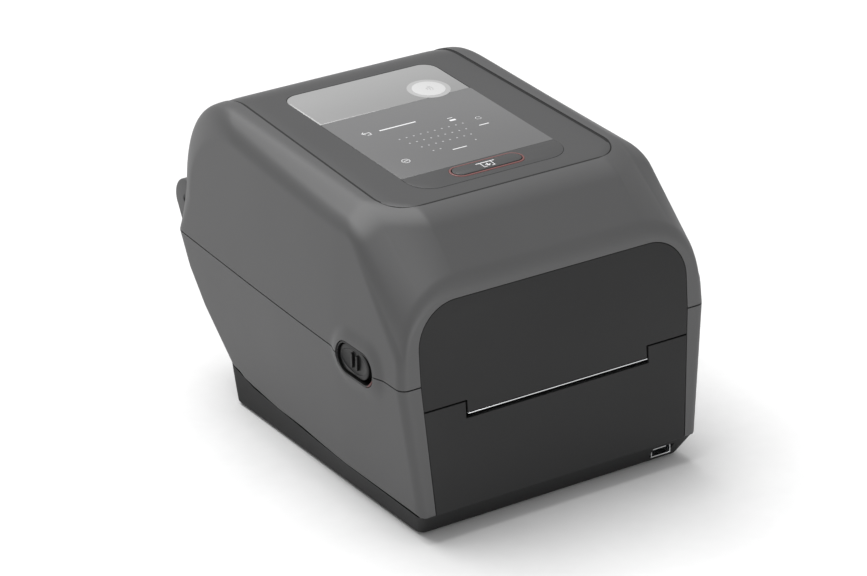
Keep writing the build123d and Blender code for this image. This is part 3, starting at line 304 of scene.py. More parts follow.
print("moulded finishes ready")

# %% [markdown]
# Metal pieces inside are drawn, rolled or ground, which leaves fine lines. Noise that is stretched
# along one axis gives them. Paper has a soft, faintly fibrous surface.


# %% Metal and paper
def metal(name, colour, roughness, along=(1.0, 60.0, 60.0)):
    finish = Finish(name, {"Metallic": 1.0})
    where = finish.node("ShaderNodeTexCoord", {}, {}, "Object")
    lines = finish.node("ShaderNodeMapping", {}, {"Vector": where, "Scale": along})
    drawn = finish.node("ShaderNodeTexNoise", {}, {"Vector": lines, "Scale": 40.0, "Detail": 3.0})
    tone = blend_of(finish, drawn, shade_of(colour, 0.85), shade_of(colour, 1.1))
    bump = finish.node("ShaderNodeBump", {}, {"Height": drawn, "Distance": 0.00002, "Strength": 0.3})
    return finish.vary({"Base Color": tone, "Roughness": drawn * 0.14 + (roughness - 0.07), "Normal": bump})


bright_steel = metal("bright_steel", (0.62, 0.63, 0.64), 0.24)
blackened_steel = metal("blackened_steel", (0.07, 0.07, 0.072), 0.45)
plated_sheet = metal("plated_sheet", (0.50, 0.51, 0.52), 0.36, along=(20.0, 2.0, 20.0))
milled_aluminium = metal("milled_aluminium", (0.66, 0.67, 0.68), 0.34, along=(60.0, 60.0, 1.0))
sintered_brass = metal("sintered_brass", (0.62, 0.44, 0.2), 0.4, along=(8.0, 8.0, 8.0))


def fibrous(name, colour):
    finish = Finish(name, {"Specular IOR Level": 0.25})
    where = finish.node("ShaderNodeTexCoord", {}, {}, "Object")
    lines = finish.node("ShaderNodeMapping", {}, {"Vector": where, "Scale": (5.0, 40.0, 40.0)})
    fibre = finish.node("ShaderNodeTexNoise", {}, {"Vector": lines, "Scale": 60.0, "Detail": 4.0})
    tone = blend_of(finish, fibre, shade_of(colour, 0.9), shade_of(colour, 1.04))
    bump = finish.node("ShaderNodeBump", {}, {"Height": fibre, "Distance": 0.00003, "Strength": 0.4})
    return finish.vary({"Base Color": tone, "Roughness": fibre * 0.1 + 0.68, "Normal": bump})


label_paper = fibrous("label_paper", (0.82, 0.82, 0.80))
card_board = fibrous("card_board", (0.42, 0.31, 0.19))
solder_resist = moulded("solder_resist", (0.015, 0.13, 0.055), 0.3)
ribbon_film = moulded("ribbon_film", (0.012, 0.012, 0.015), 0.2)
print("metals and papers ready")

# %% [markdown]
# The display is one sheet of coated glass. Its tone is a lit grey, a little lighter towards the back
# where it meets the milky window over the reader antenna. That lighter back, here and on the milky pane, is
# painted light. The gradient follows the surface itself.


# %% Display finishes
def painted_light_ramp(name, near, far, y_near, y_far, fixed):
    """A finish that changes from near to far between two places along the object's depth; the change is
    painted light.
    """
    finish = Finish(name, fixed)
    where = finish.node("ShaderNodeTexCoord", {}, {}, "Object")
    split = finish.node("ShaderNodeSeparateXYZ", {}, {"Vector": where}, "Y")
    share = finish.node(
        "ShaderNodeMapRange",
        {"interpolation_type": "SMOOTHSTEP"},
        {"Value": split, "From Min": y_near * MM, "From Max": y_far * MM},
    )
    cloud = finish.node("ShaderNodeTexNoise", {}, {"Vector": where, "Scale": 25.0})
    tone = blend_of(finish, share * 0.92 + cloud * 0.08, near + (1.0,), far + (1.0,))
    return finish.vary({"Base Color": tone, "Roughness": cloud * 0.05 + fixed["Roughness"]})


# painted light: the glass and the milky pane are painted lighter towards the back
lens_glass = painted_light_ramp(
    "lens_glass", (0.118, 0.118, 0.119), (0.138, 0.138, 0.140), lens_low.y, lens_high.y,
    {"Roughness": 0.3, "Coat Weight": 0.3, "Coat Roughness": 0.2},
)
milky_pane = painted_light_ramp(
    "milky_pane", (0.26, 0.26, 0.26), (0.31, 0.31, 0.31), pane_low.y, pane_high.y,
    {"Roughness": 0.28, "Coat Weight": 0.5, "Coat Roughness": 0.1},
)
white_disc = moulded("white_disc", (0.56, 0.56, 0.56), 0.3)
halo_grey = moulded("halo_grey", (0.40, 0.40, 0.40), 0.35)
icon_white = moulded("icon_white", (0.75, 0.75, 0.76), 0.4)
key_grey = moulded("key_grey", (0.42, 0.42, 0.43), 0.4)
shadow_black = moulded("shadow_black", (0.006, 0.006, 0.006), 0.8)
print("display finishes ready")

# %% [markdown]
# The floor is painted board. It could be a plain colour, but the same helper gives it a faint tone, so
# that the shadow doesn't fall on a perfectly flat surface.

# %% Floor finish
floor_mesh.materials.append(moulded("floor_paint", (0.78, 0.78, 0.78), 0.9, grain=0.01, depth=0.0))
print("finishes", len(bpy.data.materials))


# %% [markdown]
# A finished piece is shaded smooth except at its real edges, rides on the body that it belongs to,
# and stands for the plain solid of the working model. Openings are cut with booleans on closed
# bodies, because the seam lines of a moulded case have to stay crisp.


# %% Piece helpers
def finished(shape, name, material, body, nodes=(), sharp=32.0):
    mesh = bpy.data.meshes.new(name)
    shape.to_mesh(mesh)
    shape.free()
    mesh.transform(Matrix.Scale(MM, 4))
    mesh.shade_smooth()
    mesh.set_sharp_from_angle(angle=math.radians(sharp))
    mesh.materials.append(material)
    piece = bpy.data.objects.new(name, mesh)
    bpy.context.scene.collection.objects.link(piece)
    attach(piece, body)
    if nodes:
        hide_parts(*nodes)
    print(name, len(mesh.polygons), "faces")
    return piece


def temporary(shape, name):
    mesh = bpy.data.meshes.new(name)
    shape.to_mesh(mesh)
    shape.free()
    thing = bpy.data.objects.new(name, mesh)
    bpy.context.scene.collection.objects.link(thing)
    return thing


def discard(thing):
    old = thing.data
    bpy.data.objects.remove(thing)
    bpy.data.meshes.remove(old)


def applied(thing):
    """The shape of a temporary object with its modifier applied; the object is removed."""
    graph = bpy.context.evaluated_depsgraph_get()
    mesh = bpy.data.meshes.new_from_object(thing.evaluated_get(graph))
    result = bmesh.new()
    result.from_mesh(mesh)
    bpy.data.meshes.remove(mesh)
    discard(thing)
    return result


def carve(shape, tool, operation="DIFFERENCE"):
    """Applies a boolean with the closed bodies in tool, and uses both up."""
    body = temporary(shape, "carved")
    knife = temporary(tool, "knife")
    change = body.modifiers.new("carve", "BOOLEAN")
    change.operation = operation
    change.object = knife
    change.solver = "MANIFOLD"
    result = applied(body)
    discard(knife)
    return result


def join_shapes(*shapes):
    """Puts several shapes into one, without merging them."""
    whole = bmesh.new()
    for shape in shapes:
        mesh = bpy.data.meshes.new("joining")
        shape.to_mesh(mesh)
        shape.free()
        whole.from_mesh(mesh)
        bpy.data.meshes.remove(mesh)
    return whole


# %% [markdown]
# Flat pieces such as the front panels and the display stack are plates: an outline whose corners are
# bevelled into arcs, given a thickness below its face, with small rounded edges that catch the light.


# %% Plates
def plate(outline, thickness, place, rounds=(), edge=0.0, above=0.0):
    """A plate with its face at `above` over the plane; rounds are (corner numbers, radius) pairs."""
    shape = bmesh.new()
    corners = [shape.verts.new((x, y, 0)) for x, y in outline]
    shape.faces.new(corners)
    for chosen, radius in rounds:
        bmesh.ops.bevel(
            shape, geom=[corners[i] for i in chosen], offset=radius, affect="VERTICES", segments=14,
            profile=0.5, material=-1,
        )
    bmesh.ops.recalc_face_normals(shape, faces=shape.faces)
    if shape.faces[:][0].normal.z < 0:
        bmesh.ops.reverse_faces(shape, faces=shape.faces)
    base = shape.faces[:][0]
    made = bmesh.ops.extrude_face_region(shape, geom=[base], use_keep_orig=True)
    top = [v for v in made["geom"] if isinstance(v, bmesh.types.BMVert)]
    bmesh.ops.translate(shape, vec=(0, 0, thickness), verts=top)
    bmesh.ops.reverse_faces(shape, faces=[base])
    bmesh.ops.translate(shape, vec=(0, 0, above - thickness), verts=shape.verts)
    bmesh.ops.recalc_face_normals(shape, faces=shape.faces)
    if edge:
        rim = [e for e in shape.edges if all(abs(v.co.z - above) < 1e-4 for v in e.verts)]
        bmesh.ops.bevel(
            shape, geom=rim, offset=edge, affect="EDGES", segments=3, profile=0.5, material=-1
        )
    shape.transform(place)
    return shape


def cylinder(radius, depth, segments):
    """A closed cylinder along z, with its middle at the origin."""
    shape = bmesh.new()
    bmesh.ops.create_cone(
        shape, cap_ends=True, segments=segments, radius1=radius, radius2=radius, depth=depth
    )
    return shape


def rectangle(low_x, low_y, high_x, high_y):
    return [(low_x, low_y), (high_x, low_y), (high_x, high_y), (low_x, high_y)]


def stadium(middle, length, width, steps=16):
    """A flat oval: a rectangle with half-round ends, as a list of corners."""
    radius = width / 2
    reach = length / 2 - radius
    points = []
    for side in (1, -1):
        for step in range(steps + 1):
            turn = -math.pi / 2 + math.pi * step / steps
            points.append((
                middle[0] + side * (reach + radius * math.cos(turn)),
                middle[1] + side * radius * math.sin(turn),
            ))
    return points


def facing(origin, across, outward):
    """The matrix of a plane from its origin, its x direction and its outward direction."""
    z = Vector(outward).normalized()
    x = Vector(across).normalized()
    return Matrix.Translation(Vector(origin)) @ Matrix((x, z.cross(x), z)).transposed().to_4x4()


quarter_turn = Matrix.Rotation(math.pi / 2, 4, "Y")
roof_rear = 82.0


def roof_height(y):
    return roof_top - roof_slope * (roof_rear - y)


def front_at(z):
    return front + (z - case_bottom) * math.tan(lean)


def rise(z):
    """How far up the leaning front the height z is, from the seam."""
    return (z - seam) / math.cos(lean)


roof_face = facing((0, 0, roof_height(0)), (1, 0, 0), (0, -roof_slope, 1))
front_face = facing((0, front_at(seam), seam), (1, 0, 0), (0, -math.cos(lean), math.sin(lean)))
print("roof plane at", round(roof_height(0), 1), "front plane at", round(front_at(seam), 1))

# %% [markdown]
# The big shells have no flat sections and no single profile: the roof, the slanted brow, the shoulders
# and the rear roll all melt into each other. One way is to push a subdivided cage about by hand. Here
# the shape is said as a rule instead. Each face gives a distance, neighbouring faces are joined with a
# round edge of a known radius, and a grid of square patches is drawn in until it lies on that surface.


# %% Rules for rounded forms
def rounded(first, second, radius):
    """Inside both faces, with a round edge where they meet."""
    outer = np.hypot(np.maximum(first + radius, 0), np.maximum(second + radius, 0))
    return np.minimum(np.maximum(first, second), -radius) + outer


def soft(value, width):
    """Zero below nothing and the value above it, with a soft start."""
    return 0.5 * (value + np.sqrt(value * value + width * width))


def fall(y, z, start, end):
    """Distance from a line seen from the side, positive to the left of start-to-end."""
    dy, dz = end[0] - start[0], end[1] - start[1]
    return ((z - start[1]) * dy - (y - start[0]) * dz) / np.hypot(dy, dz)


def patches(low, high, pitch):
    """A closed box of square patches."""
    low, size = Vector(low), Vector(high) - Vector(low)
    shape = bmesh.new()
    bmesh.ops.create_cube(shape, size=1.0)
    bmesh.ops.scale(shape, vec=size, verts=shape.verts)
    bmesh.ops.translate(shape, vec=low + size / 2, verts=shape.verts)
    for axis in range(3):
        long = [e for e in shape.edges if abs((e.verts[0].co - e.verts[1].co)[axis]) > 0.9 * size[axis]]
        bmesh.ops.subdivide_edges(shape, edges=long, cuts=round(size[axis] / pitch) - 1, use_grid_fill=True)
    return shape


def draw_in(shape, rule, core_low, core_high):
    """Moves every vertex towards the core until it lies on the surface that the rule describes."""
    away = np.array([v.co for v in shape.verts])
    core = np.clip(away, core_low, core_high)
    inside, outside = np.zeros(len(away)), np.ones(len(away))
    for _ in range(26):
        middle = (inside + outside) / 2
        over = rule(core + (away - core) * middle[:, None]) > 0
        outside = np.where(over, middle, outside)
        inside = np.where(over, inside, middle)
    for vertex, place in zip(shape.verts, core + (away - core) * inside[:, None]):
        vertex.co = place
    return shape


def open_form(rule, block, core, pitch, cut, keep):
    """A block drawn in to the rule and cut open at a height; keep is 1 for what is above, -1 for below."""
    shape = draw_in(patches(*block, pitch), rule, *core)
    bmesh.ops.bisect_plane(
        shape, geom=shape.verts[:] + shape.edges[:] + shape.faces[:], plane_co=(0, 0, cut),
        plane_no=(0, 0, -keep), clear_outer=True,
    )
    return shape


def walled(shape, thickness):
    """Gives an open skin a wall on its inner side."""
    skin = temporary(shape, "skin")
    wall = skin.modifiers.new("wall", "SOLIDIFY")
    wall.thickness = thickness
    wall.offset = -1.0
    return applied(skin)


print("rules can be joined, drawn in, cut open and walled")

# %% [markdown]
# Seen from above, the sides are straight at the front and draw in towards the rear. The cover's sides
# also lean in as they rise, and the case's sides lean in towards the bottom.

# %% The cover's rule
straight_to = -61.0
rear_narrowing = 7.7
arch_round = 38.0
arch_top = seam + 54.6
arch_flat = half - 3.0 - arch_round
arch_foot = arch_top - arch_round
ridge_x = half - 19.5
crease_x = half - 3.2
shoulder = roof_top - 14.2
brow_ridge = -93.0
cover_foot = seam - 12.0
latch_y = -87.0
latch_length = 39.0
latch_height = 21.0


def half_width(y):
    share = np.clip((y - straight_to) / (back - 23.0 - straight_to), 0, 1.2)
    return half - rear_narrowing * share**1.25


def swelling(y, z):
    """How far the side swells outwards round the latch pocket."""
    reach = (latch_length - latch_height) / 2
    away = np.hypot(np.maximum(np.abs(y - latch_y) - reach, 0), z - seam) - latch_height / 2
    share = np.clip(1 - away / 9.0, 0, 1)
    return bulge * share * share * (3 - 2 * share)


def cover_rule(p):
    x, y, z = np.abs(p[:, 0]), p[:, 1], p[:, 2]
    bend = np.clip((x - arch_flat) / arch_round, 0, 0.999)
    arch = arch_foot + arch_round * np.sqrt(1 - bend**2)
    aside = np.minimum(soft(x - ridge_x, 3.0) / (crease_x - ridge_x), 1.4)
    ridge_y = brow_ridge + 19.0 * np.clip((x - arch_flat) / (ridge_x - arch_flat), 0, 1) - 4.0 * aside
    ridge_z = roof_height(ridge_y) - (roof_height(-78.0) - shoulder + 1.5) * aside
    crown_y = roof_rear - 34.0 * aside
    crown_z = roof_top - (roof_top - shoulder) * aside
    roll = 51.0 + 11.0 * aside
    foot_y = back - 3.0 * aside
    upright = (front_at(z) - y) * math.cos(lean)
    brow = fall(y, z, (front_at(arch), arch), (ridge_y, ridge_z))
    roof = fall(y, z, (ridge_y, ridge_z), (crown_y, crown_z))
    rolled = np.hypot(np.maximum(y - crown_y, 0), z - crown_z + roll) - roll
    tail = fall(y, z, (crown_y + roll, crown_z - roll), (foot_y, seam + 2.0))
    rear = np.where(z > crown_z - roll, rolled, tail)
    top = np.where(y > crown_y, rear, roof)
    section = rounded(rounded(upright, brow, 5.0), top, 7.0)
    side = (x - half_width(y) - swelling(y, z) + (z - seam) * math.tan(draft)) * math.cos(draft)
    return np.maximum(rounded(section, side, 5.5), cover_foot - z)


def cover_form(rule, pitch, cut):
    """A skin over the cover's block, open below the height of the cut."""
    block = (-114, -148, cover_foot - 2), (114, 138, roof_top + 8)
    core = (-58, -84, seam - 6), (58, 60, 132)
    return open_form(rule, block, core, pitch, cut, 1)


print("half width at the seam, front and rear", round(half_width(front), 1), round(half_width(back), 1))

# %% [markdown]
# The front opening is one outline through both shells: round at the top, slightly narrower at the foot.
# Both latches sit in flat oval pockets, on a low bulge that swells from the side like a lens.

# %% Outlines that cut the shells
panel_half = panel_high.x
sill_half = 86.9
top_round = 26.0
split = sill_top + 0.8
gap = 0.25
lug_width = 14.0
lug_radius = 12.5
lug_middle = half - 14.5 - lug_width / 2


def opening(grow):
    half_top, half_foot = panel_half + grow, sill_half + grow
    top, foot = rise(panel_high.z), rise(case_bottom)
    return [
        (-half_foot, foot - 4), (half_foot, foot - 4), (half_top, 0), (half_top, top + grow),
        (-half_top, top + grow), (-half_top, 0),
    ]


def side_face(side, x):
    """A plane that faces outwards at one side, with its x along the depth."""
    return facing((side * x, 0, 0), (0, side, 0), (side, 0, 0))


def latch_pocket(side):
    return plate(stadium((side * latch_y, seam), latch_length, latch_height), 26, side_face(side, half + 12))


def insert_prism(grow):
    """The top insert's outline, grown all round, as an upright block through the roof."""
    wide_front, wide_rear, ahead, behind = 80.6 + grow, 75.8 + grow, -85.7 - grow, back + 30
    outline = [
        (-wide_front, ahead), (wide_front, ahead), (wide_rear, 86.0),
        (wide_rear, behind), (-wide_rear, behind), (-wide_rear, 86.0),
    ]
    low = Matrix.Translation((0, 0, hinge_z + 26))
    return plate(outline, 100, low, rounds=[((0, 1), 22.0 + grow)], above=100)


def hinge_notch(side):
    """The round cut and the slot in the cover that clear one hinge lug."""
    clear = 0.6
    middle, span = side * lug_middle, lug_width / 2 + clear
    shape = cylinder(lug_radius + 0.8, lug_width + 2 * clear, 48)
    shape.transform(Matrix.Translation((middle, hinge_y, hinge_z)) @ quarter_turn)
    slot = plate(
        rectangle(middle - span, hinge_y - 13, middle + span, hinge_y + 13), hinge_z - seam + 3,
        Matrix.Translation((0, 0, hinge_z)),
    )
    return [shape, slot]


def front_opening():
    return plate(opening(gap), 30, front_face, rounds=[((3, 4), top_round)], above=14)


print("opening", round(2 * panel_half, 1), "wide, lugs at", round(lug_middle, 1))

# %% [markdown]
# The cover is one moulded shell with a three millimetre wall. Its skin is drawn in from the rule, given
# its wall, and then opened for the front, the top insert, the hinge lugs and the latch pockets.

# %% The cover
skin_wall = 3.0
cover = walled(cover_form(cover_rule, 2.2, seam + 0.4), skin_wall)
cuts = [front_opening(), insert_prism(gap)]
for side in (-1, 1):
    cuts += hinge_notch(side)
    cuts.append(latch_pocket(side))
for cutter in cuts:
    cover = carve(cover, cutter)
finished(cover, "cover_skin", cover_plastic, "cover", ["cover_shell"])

# %% [markdown]
# The lower case follows the same idea. Its sides widen upwards to the seam, the front leans in one
# plane with the cover's front, and the underside climbs to the rear in a few flats and a round belly.

# %% The lower case's rule
side_flare = 8.9
under = [
    (front, case_bottom), (50.0, case_bottom + 3.0), (84.0, case_bottom + 9.5), (108.0, case_bottom + 33.0),
]
belly = (back - 8.0, (under[3][1] + seam) / 2 - 1.0)


def case_rule(p):
    x, y, z = np.abs(p[:, 0]), p[:, 1], p[:, 2]
    upright = (front_at(z) - y) * math.cos(lean)
    side = x - half_width(y) + side_flare * (seam - z) / (seam - case_bottom) - swelling(y, z)
    foot = np.maximum(fall(y, z, under[1], under[0]), fall(y, z, under[2], under[1]))
    rear = fall(y, z, under[3], under[2])
    for first, second in ((under[3], belly), (belly, (back, seam))):
        rear = rounded(rear, fall(y, z, second, first), 3.0)
    form = rounded(rounded(upright, side, 5.5), rear, 7.0)
    return np.maximum(np.maximum(form, foot), z - seam - 8)


print("belly corner", [round(value, 1) for value in belly])

# %% [markdown]
# The hinge lugs stand behind the seam, round at the top and on a short neck. They are turned discs and
# plates whose edges are softened. The neck is a little narrower than its disc, because two faces in one
# plane would flicker.


# %% Hinge lugs
def lug(side):
    middle, step = side * lug_middle, 0.4
    disc = cylinder(lug_radius, lug_width, 64)
    rims = [e for e in disc.edges if abs(e.verts[0].co.z - e.verts[1].co.z) < 1e-4]
    bmesh.ops.bevel(disc, geom=rims, offset=1.2, affect="EDGES", segments=3, profile=0.5, material=-1)
    disc.transform(Matrix.Translation((middle, hinge_y, hinge_z)) @ quarter_turn)
    neck = [
        (hinge_y - 12.2, hinge_z - 1), (hinge_y - 11, seam - 10), (hinge_y - 0.5, seam - 12),
        (hinge_y + 3.3, seam - 1), (hinge_y + 11.8, hinge_z - 4),
    ]
    plane = facing((middle - lug_width / 2 + step, 0, 0), (0, 1, 0), (1, 0, 0))
    return join_shapes(disc, plate(neck, lug_width - 2 * step, plane, above=lug_width - 2 * step))


print("lugs", lug_width, "wide,", 2 * lug_radius, "across")

# %% [markdown]
# The case is a walled skin with openings for the front, both latches, the connectors at the rear and,
# in its floor, the working parts that stand on the tray.

# %% The lower case
slope_turn = math.atan2(under[3][1] - under[2][1], under[3][0] - under[2][0])
io_face = facing(
    (0, (under[2][0] + under[3][0]) / 2, (under[2][1] + under[3][1]) / 2),
    (-1, 0, 0),
    (0, math.sin(slope_turn), -math.cos(slope_turn)),
)
case_block = (-114, -148, case_bottom - 6), (114, 138, seam + 10)
case_core = (-58, -84, seam - 28), (58, 60, seam)
case = walled(open_form(case_rule, case_block, case_core, 2.3, seam - 0.4, -1), skin_wall)
cuts = [
    front_opening(),
    plate(rectangle(-65.3, -10.3, 65.3, 10.3), 24, io_face, above=8),
    plate(rectangle(-82, -126, 82, 70), 40, Matrix.Translation((0, 0, case_bottom)), above=30),
]
cuts += [latch_pocket(side) for side in (-1, 1)]
for cutter in cuts:
    case = carve(case, cutter)
case = join_shapes(case, lug(-1), lug(1))
finished(case, "case_skin", case_plastic, "base", ["lower_case"])

# %% [markdown]
# The black tray carries the case. It meets the case flush along the lower edge and draws in towards
# the table. Its floor has holes for the screws and round recesses for the rubber feet.

# %% The base tray
tray_bottom = box_mm("base_tray")[0].z
port_low, port_high = box_mm("front_usb_port")
foot_top = box_mm("rubber_feet")[1].z
tray_front = front + 1.5
tray_rear = under[2][0] - 3.4
screw_lines = [(side * 86.0, y) for side in (-1, 1) for y in (-85.0, -10.0, 45.0)]
foot_lines = [(side * 78.0, y) for side in (-1, 1) for y in (-112.0, 60.0)]


def tray_rule(p):
    x, y, z = np.abs(p[:, 0]), p[:, 1], p[:, 2]
    edge = np.interp(y, [corner[0] for corner in under[:3]], [corner[1] for corner in under[:3]])
    wide = half_width(y) - side_flare * (seam - edge) / (seam - case_bottom)
    narrow = half - side_flare - 5.6
    side = x - narrow - (wide - narrow) * (z - tray_bottom) / (edge - tray_bottom)
    ahead = tray_front + 0.596 * (case_bottom - z) - y
    behind = y - tray_rear - 0.25 * (z - under[2][1])
    plan = rounded(rounded(side, ahead, 5.0), behind, 6.0)
    return np.maximum(rounded(plan, tray_bottom - z, 1.2), z - under[2][1] - 8)


tray_block = (-108, -146, tray_bottom - 2), (108, 92, under[2][1] + 10)
tray_core = (-60, -100, 8), (60, 55, 14)
tray = walled(open_form(tray_rule, tray_block, tray_core, 2.4, under[2][1] + 4, -1), skin_wall)
above_edge = [
    (front - 30, case_bottom - 0.3), (front, case_bottom - 0.3), (under[1][0], under[1][1] - 0.3),
    (under[2][0], under[2][1] - 0.3), (under[2][0] + 30, under[2][1]), (under[2][0] + 30, 60),
    (front - 30, 60),
]
tray_cuts = [plate(above_edge, 240, facing((-120, 0, 0), (0, 1, 0), (1, 0, 0)), above=240)]
for places, radius, low, high in ((screw_lines, 3.2, -5, 9), (foot_lines, 8.2, -5, foot_top)):
    for x, y in places:
        hole = cylinder(radius, high - low, 32)
        hole.transform(Matrix.Translation((x, y, (low + high) / 2)))
        tray_cuts.append(hole)
slot_low, slot_high = port_low - Vector((0.4, 20, 0.4)), port_high + Vector((0.4, 0.4, 0.4))
tray_cuts.append(plate(
    rectangle(slot_low.x, slot_low.y, slot_high.x, slot_high.y), slot_high.z - slot_low.z,
    Matrix.Translation((0, 0, slot_high.z)),
))
for cutter in tray_cuts:
    tray = carve(tray, cutter)
finished(tray, "tray_skin", tray_plastic, "base", ["base_tray"])

# %% [markdown]
# The top insert is a second skin that lies in the cover's roof and rolls down the back. It is cut
# from the same rule as the cover, so it follows the roof exactly, and its rim dips a little. A thin
# black liner lies under the joint as painted shade: it keeps the line between the two skins dark, where the
# gap would only be in shadow.

# %% The top insert
dish = 0.45
seam_width = 0.6


def insert_rule(p):
    x, y = np.abs(p[:, 0]), p[:, 1]
    edge = np.minimum(80.0 - (y + 86.0) * 0.028 - x, y + 85.5)
    low_rim = dish * np.clip(1 - edge / 9.0, 0, 1) ** 2
    return cover_rule(p) + low_rim + 0.15


insert = walled(cover_form(insert_rule, 2.2, hinge_z + 22), 2.2)
insert = carve(insert, insert_prism(-seam_width), "INTERSECT")
# painted shade: a black liner under the joint stands in for the shadow inside the gap
seam_shade_liner = walled(cover_form(lambda p: cover_rule(p) + 0.45, 3.0, hinge_z + 23), 1.0)
seam_shade_liner = carve(seam_shade_liner, insert_prism(0.6), "INTERSECT")
seam_shade_liner = carve(seam_shade_liner, insert_prism(-1.6))
finished(seam_shade_liner, "insert_seam_shade", shadow_black, "cover")
pocket = [
    (-lens_high.x - 0.15, bezel_low.y - 0.15), (lens_high.x + 0.15, bezel_low.y - 0.15),
    (lens_high.x + 0.15, pane_high.y + 0.15), (-lens_high.x - 0.15, pane_high.y + 0.15),
]
insert = carve(insert, plate(pocket, 6, roof_face, rounds=[((0, 1), 15.0), ((2, 3), 10.0)], above=3))
finished(insert, "insert_skin", insert_plastic, "cover", ["top_insert"])

# %% [markdown]
# The black front is two plates that meet in a fine line, with a tongue that reaches down to the label
# slot. Their top corners are the same arcs as the opening's.

# %% Front plates
tongue_foot = rise(panel_low.z)
upper_corners = [
    (-panel_half, 0), (-panel_half + 1.0, rise(split)), (-tongue_half, rise(split)),
    (-tongue_half, tongue_foot), (tongue_half, tongue_foot), (tongue_half, rise(split)),
    (panel_half - 1.0, rise(split)), (panel_half, 0),
    (panel_half, rise(panel_high.z)), (-panel_half, rise(panel_high.z)),
]
upper_plate = plate(upper_corners, 3.0, front_face, rounds=[((8, 9), top_round)], edge=0.4)
finished(upper_plate, "upper_front", panel_plastic, "cover", ["front_panel_upper"])
tear_height = 0.6
tear_top = tongue_foot - 0.05
tear_strip = plate(
    rectangle(-tongue_half, tear_top - tear_height, tongue_half, tear_top), 4.4, front_face,
    edge=0.1, above=0.3,
)
finished(tear_strip, "tear_strip", bright_steel, "cover", ["tear_bar"])
notch = tongue_half + 1.1
sill_edge, slot_edge, case_edge = rise(sill_top), rise(panel_low.z - 3.2), rise(case_bottom)
lower_corners = [
    (-panel_half + 1.0, sill_edge), (-sill_half, case_edge), (sill_half, case_edge),
    (panel_half - 1.0, sill_edge), (notch, sill_edge), (notch, slot_edge),
    (-notch, slot_edge), (-notch, sill_edge),
]
lower_plate = plate(lower_corners, 3.0, front_face, edge=0.4)
finished(lower_plate, "lower_front", panel_plastic, "base", ["front_panel_lower"])

# %% [markdown]
# The display is a stack of thin plates in one pocket: the touch glass, the milky pane with the reader's
# disc behind it, and the strip with the feed button. Their rounded edges draw the bright hairlines.

# %% Display stack
glass = plate(rectangle(lens_low.x, lens_low.y, lens_high.x, lens_high.y), 1.2, roof_face, edge=0.15)
finished(glass, "touch_glass", lens_glass, "cover", ["display_lens"])
pane = plate(
    rectangle(pane_low.x, pane_low.y, pane_high.x, pane_high.y), 1.2, roof_face,
    rounds=[((2, 3), 10.0)], edge=1.0,
)
finished(pane, "reader_pane", milky_pane, "cover", ["window_pane"])
strip = plate(
    rectangle(bezel_low.x, bezel_low.y, bezel_high.x, bezel_high.y), 1.2, roof_face,
    rounds=[((0, 1), 15.0)], edge=0.2,
)
key_middle = (0.0, (ring_low.y + ring_high.y) / 2)
key_length, key_width = ring_high.x - ring_low.x, ring_high.y - ring_low.y
strip = carve(strip, plate(stadium(key_middle, key_length, key_width), 6, roof_face, above=3))
finished(strip, "key_strip", bezel_plastic, "cover", ["button_bezel"])
ring = plate(stadium(key_middle, key_length - 0.2, key_width - 0.2), 1.5, roof_face, edge=0.35, above=0.3)
ring = carve(ring, plate(stadium(key_middle, key_length - 2.6, key_width - 2.6), 6, roof_face, above=3))
finished(ring, "key_ring", ring_plastic, "cover", ["button_ring"])
key = plate(stadium(key_middle, key_length - 3.6, key_width - 3.6), 2.6, roof_face, edge=0.5, above=0.7)
finished(key, "feed_key_cap", bezel_plastic, "feed_key", ["feed_button"])

# %% [markdown]
# Under the milky window lies the antenna of a card reader, marked by a white disc with a soft halo. Each
# is a thin round plate that stands a hair above the window, so that neither is buried in it.


# %% Reader disc
def round_plate(middle, radius, thickness, above, edge=0.15, sides=48):
    """A thin round plate on the roof plane."""
    turns = [2 * math.pi * step / sides for step in range(sides)]
    points = [(middle[0] + radius * math.cos(t), middle[1] + radius * math.sin(t)) for t in turns]
    return plate(points, thickness, roof_face, edge=edge, above=above)


disc_middle = ((disc_low.x + disc_high.x) / 2, (disc_low.y + disc_high.y) / 2)
disc_radius = (disc_high.x - disc_low.x) / 2
halo = round_plate(disc_middle, disc_radius + 2.6, 0.4, 0.06, 0.03)
finished(halo, "disc_halo", halo_grey, "cover")
spot = round_plate(disc_middle, disc_radius - 0.4, 0.6, 0.2)
finished(spot, "reader_spot", white_disc, "cover", ["reader_disc"])

# %% [markdown]
# The screen shows an on-screen keyboard. It is drawn with plain marks only: a back arrow, a bar where
# a heading would stand, rows of dots for the keys and a few simple signs. None of it is lettering.


# %% Screen marks
def bar(start, end, width, lift):
    """A thin straight mark on the roof plane."""
    a, b = Vector(start), Vector(end)
    along = (b - a).normalized() * (width / 2)
    across = Vector((-along.y, along.x))
    corners = [a - along - across, b + along - across, b + along + across, a - along + across]
    return plate([tuple(c) for c in corners], 0.1, roof_face, above=lift)


def hoop(middle, radius, width, lift, first=0, last=360, steps=16):
    """A thin arc, made of short straight marks."""
    turns = [math.radians(first + (last - first) * i / steps) for i in range(steps + 1)]
    points = [(middle[0] + radius * math.cos(t), middle[1] + radius * math.sin(t)) for t in turns]
    return [bar(a, b, width, lift) for a, b in zip(points, points[1:])]


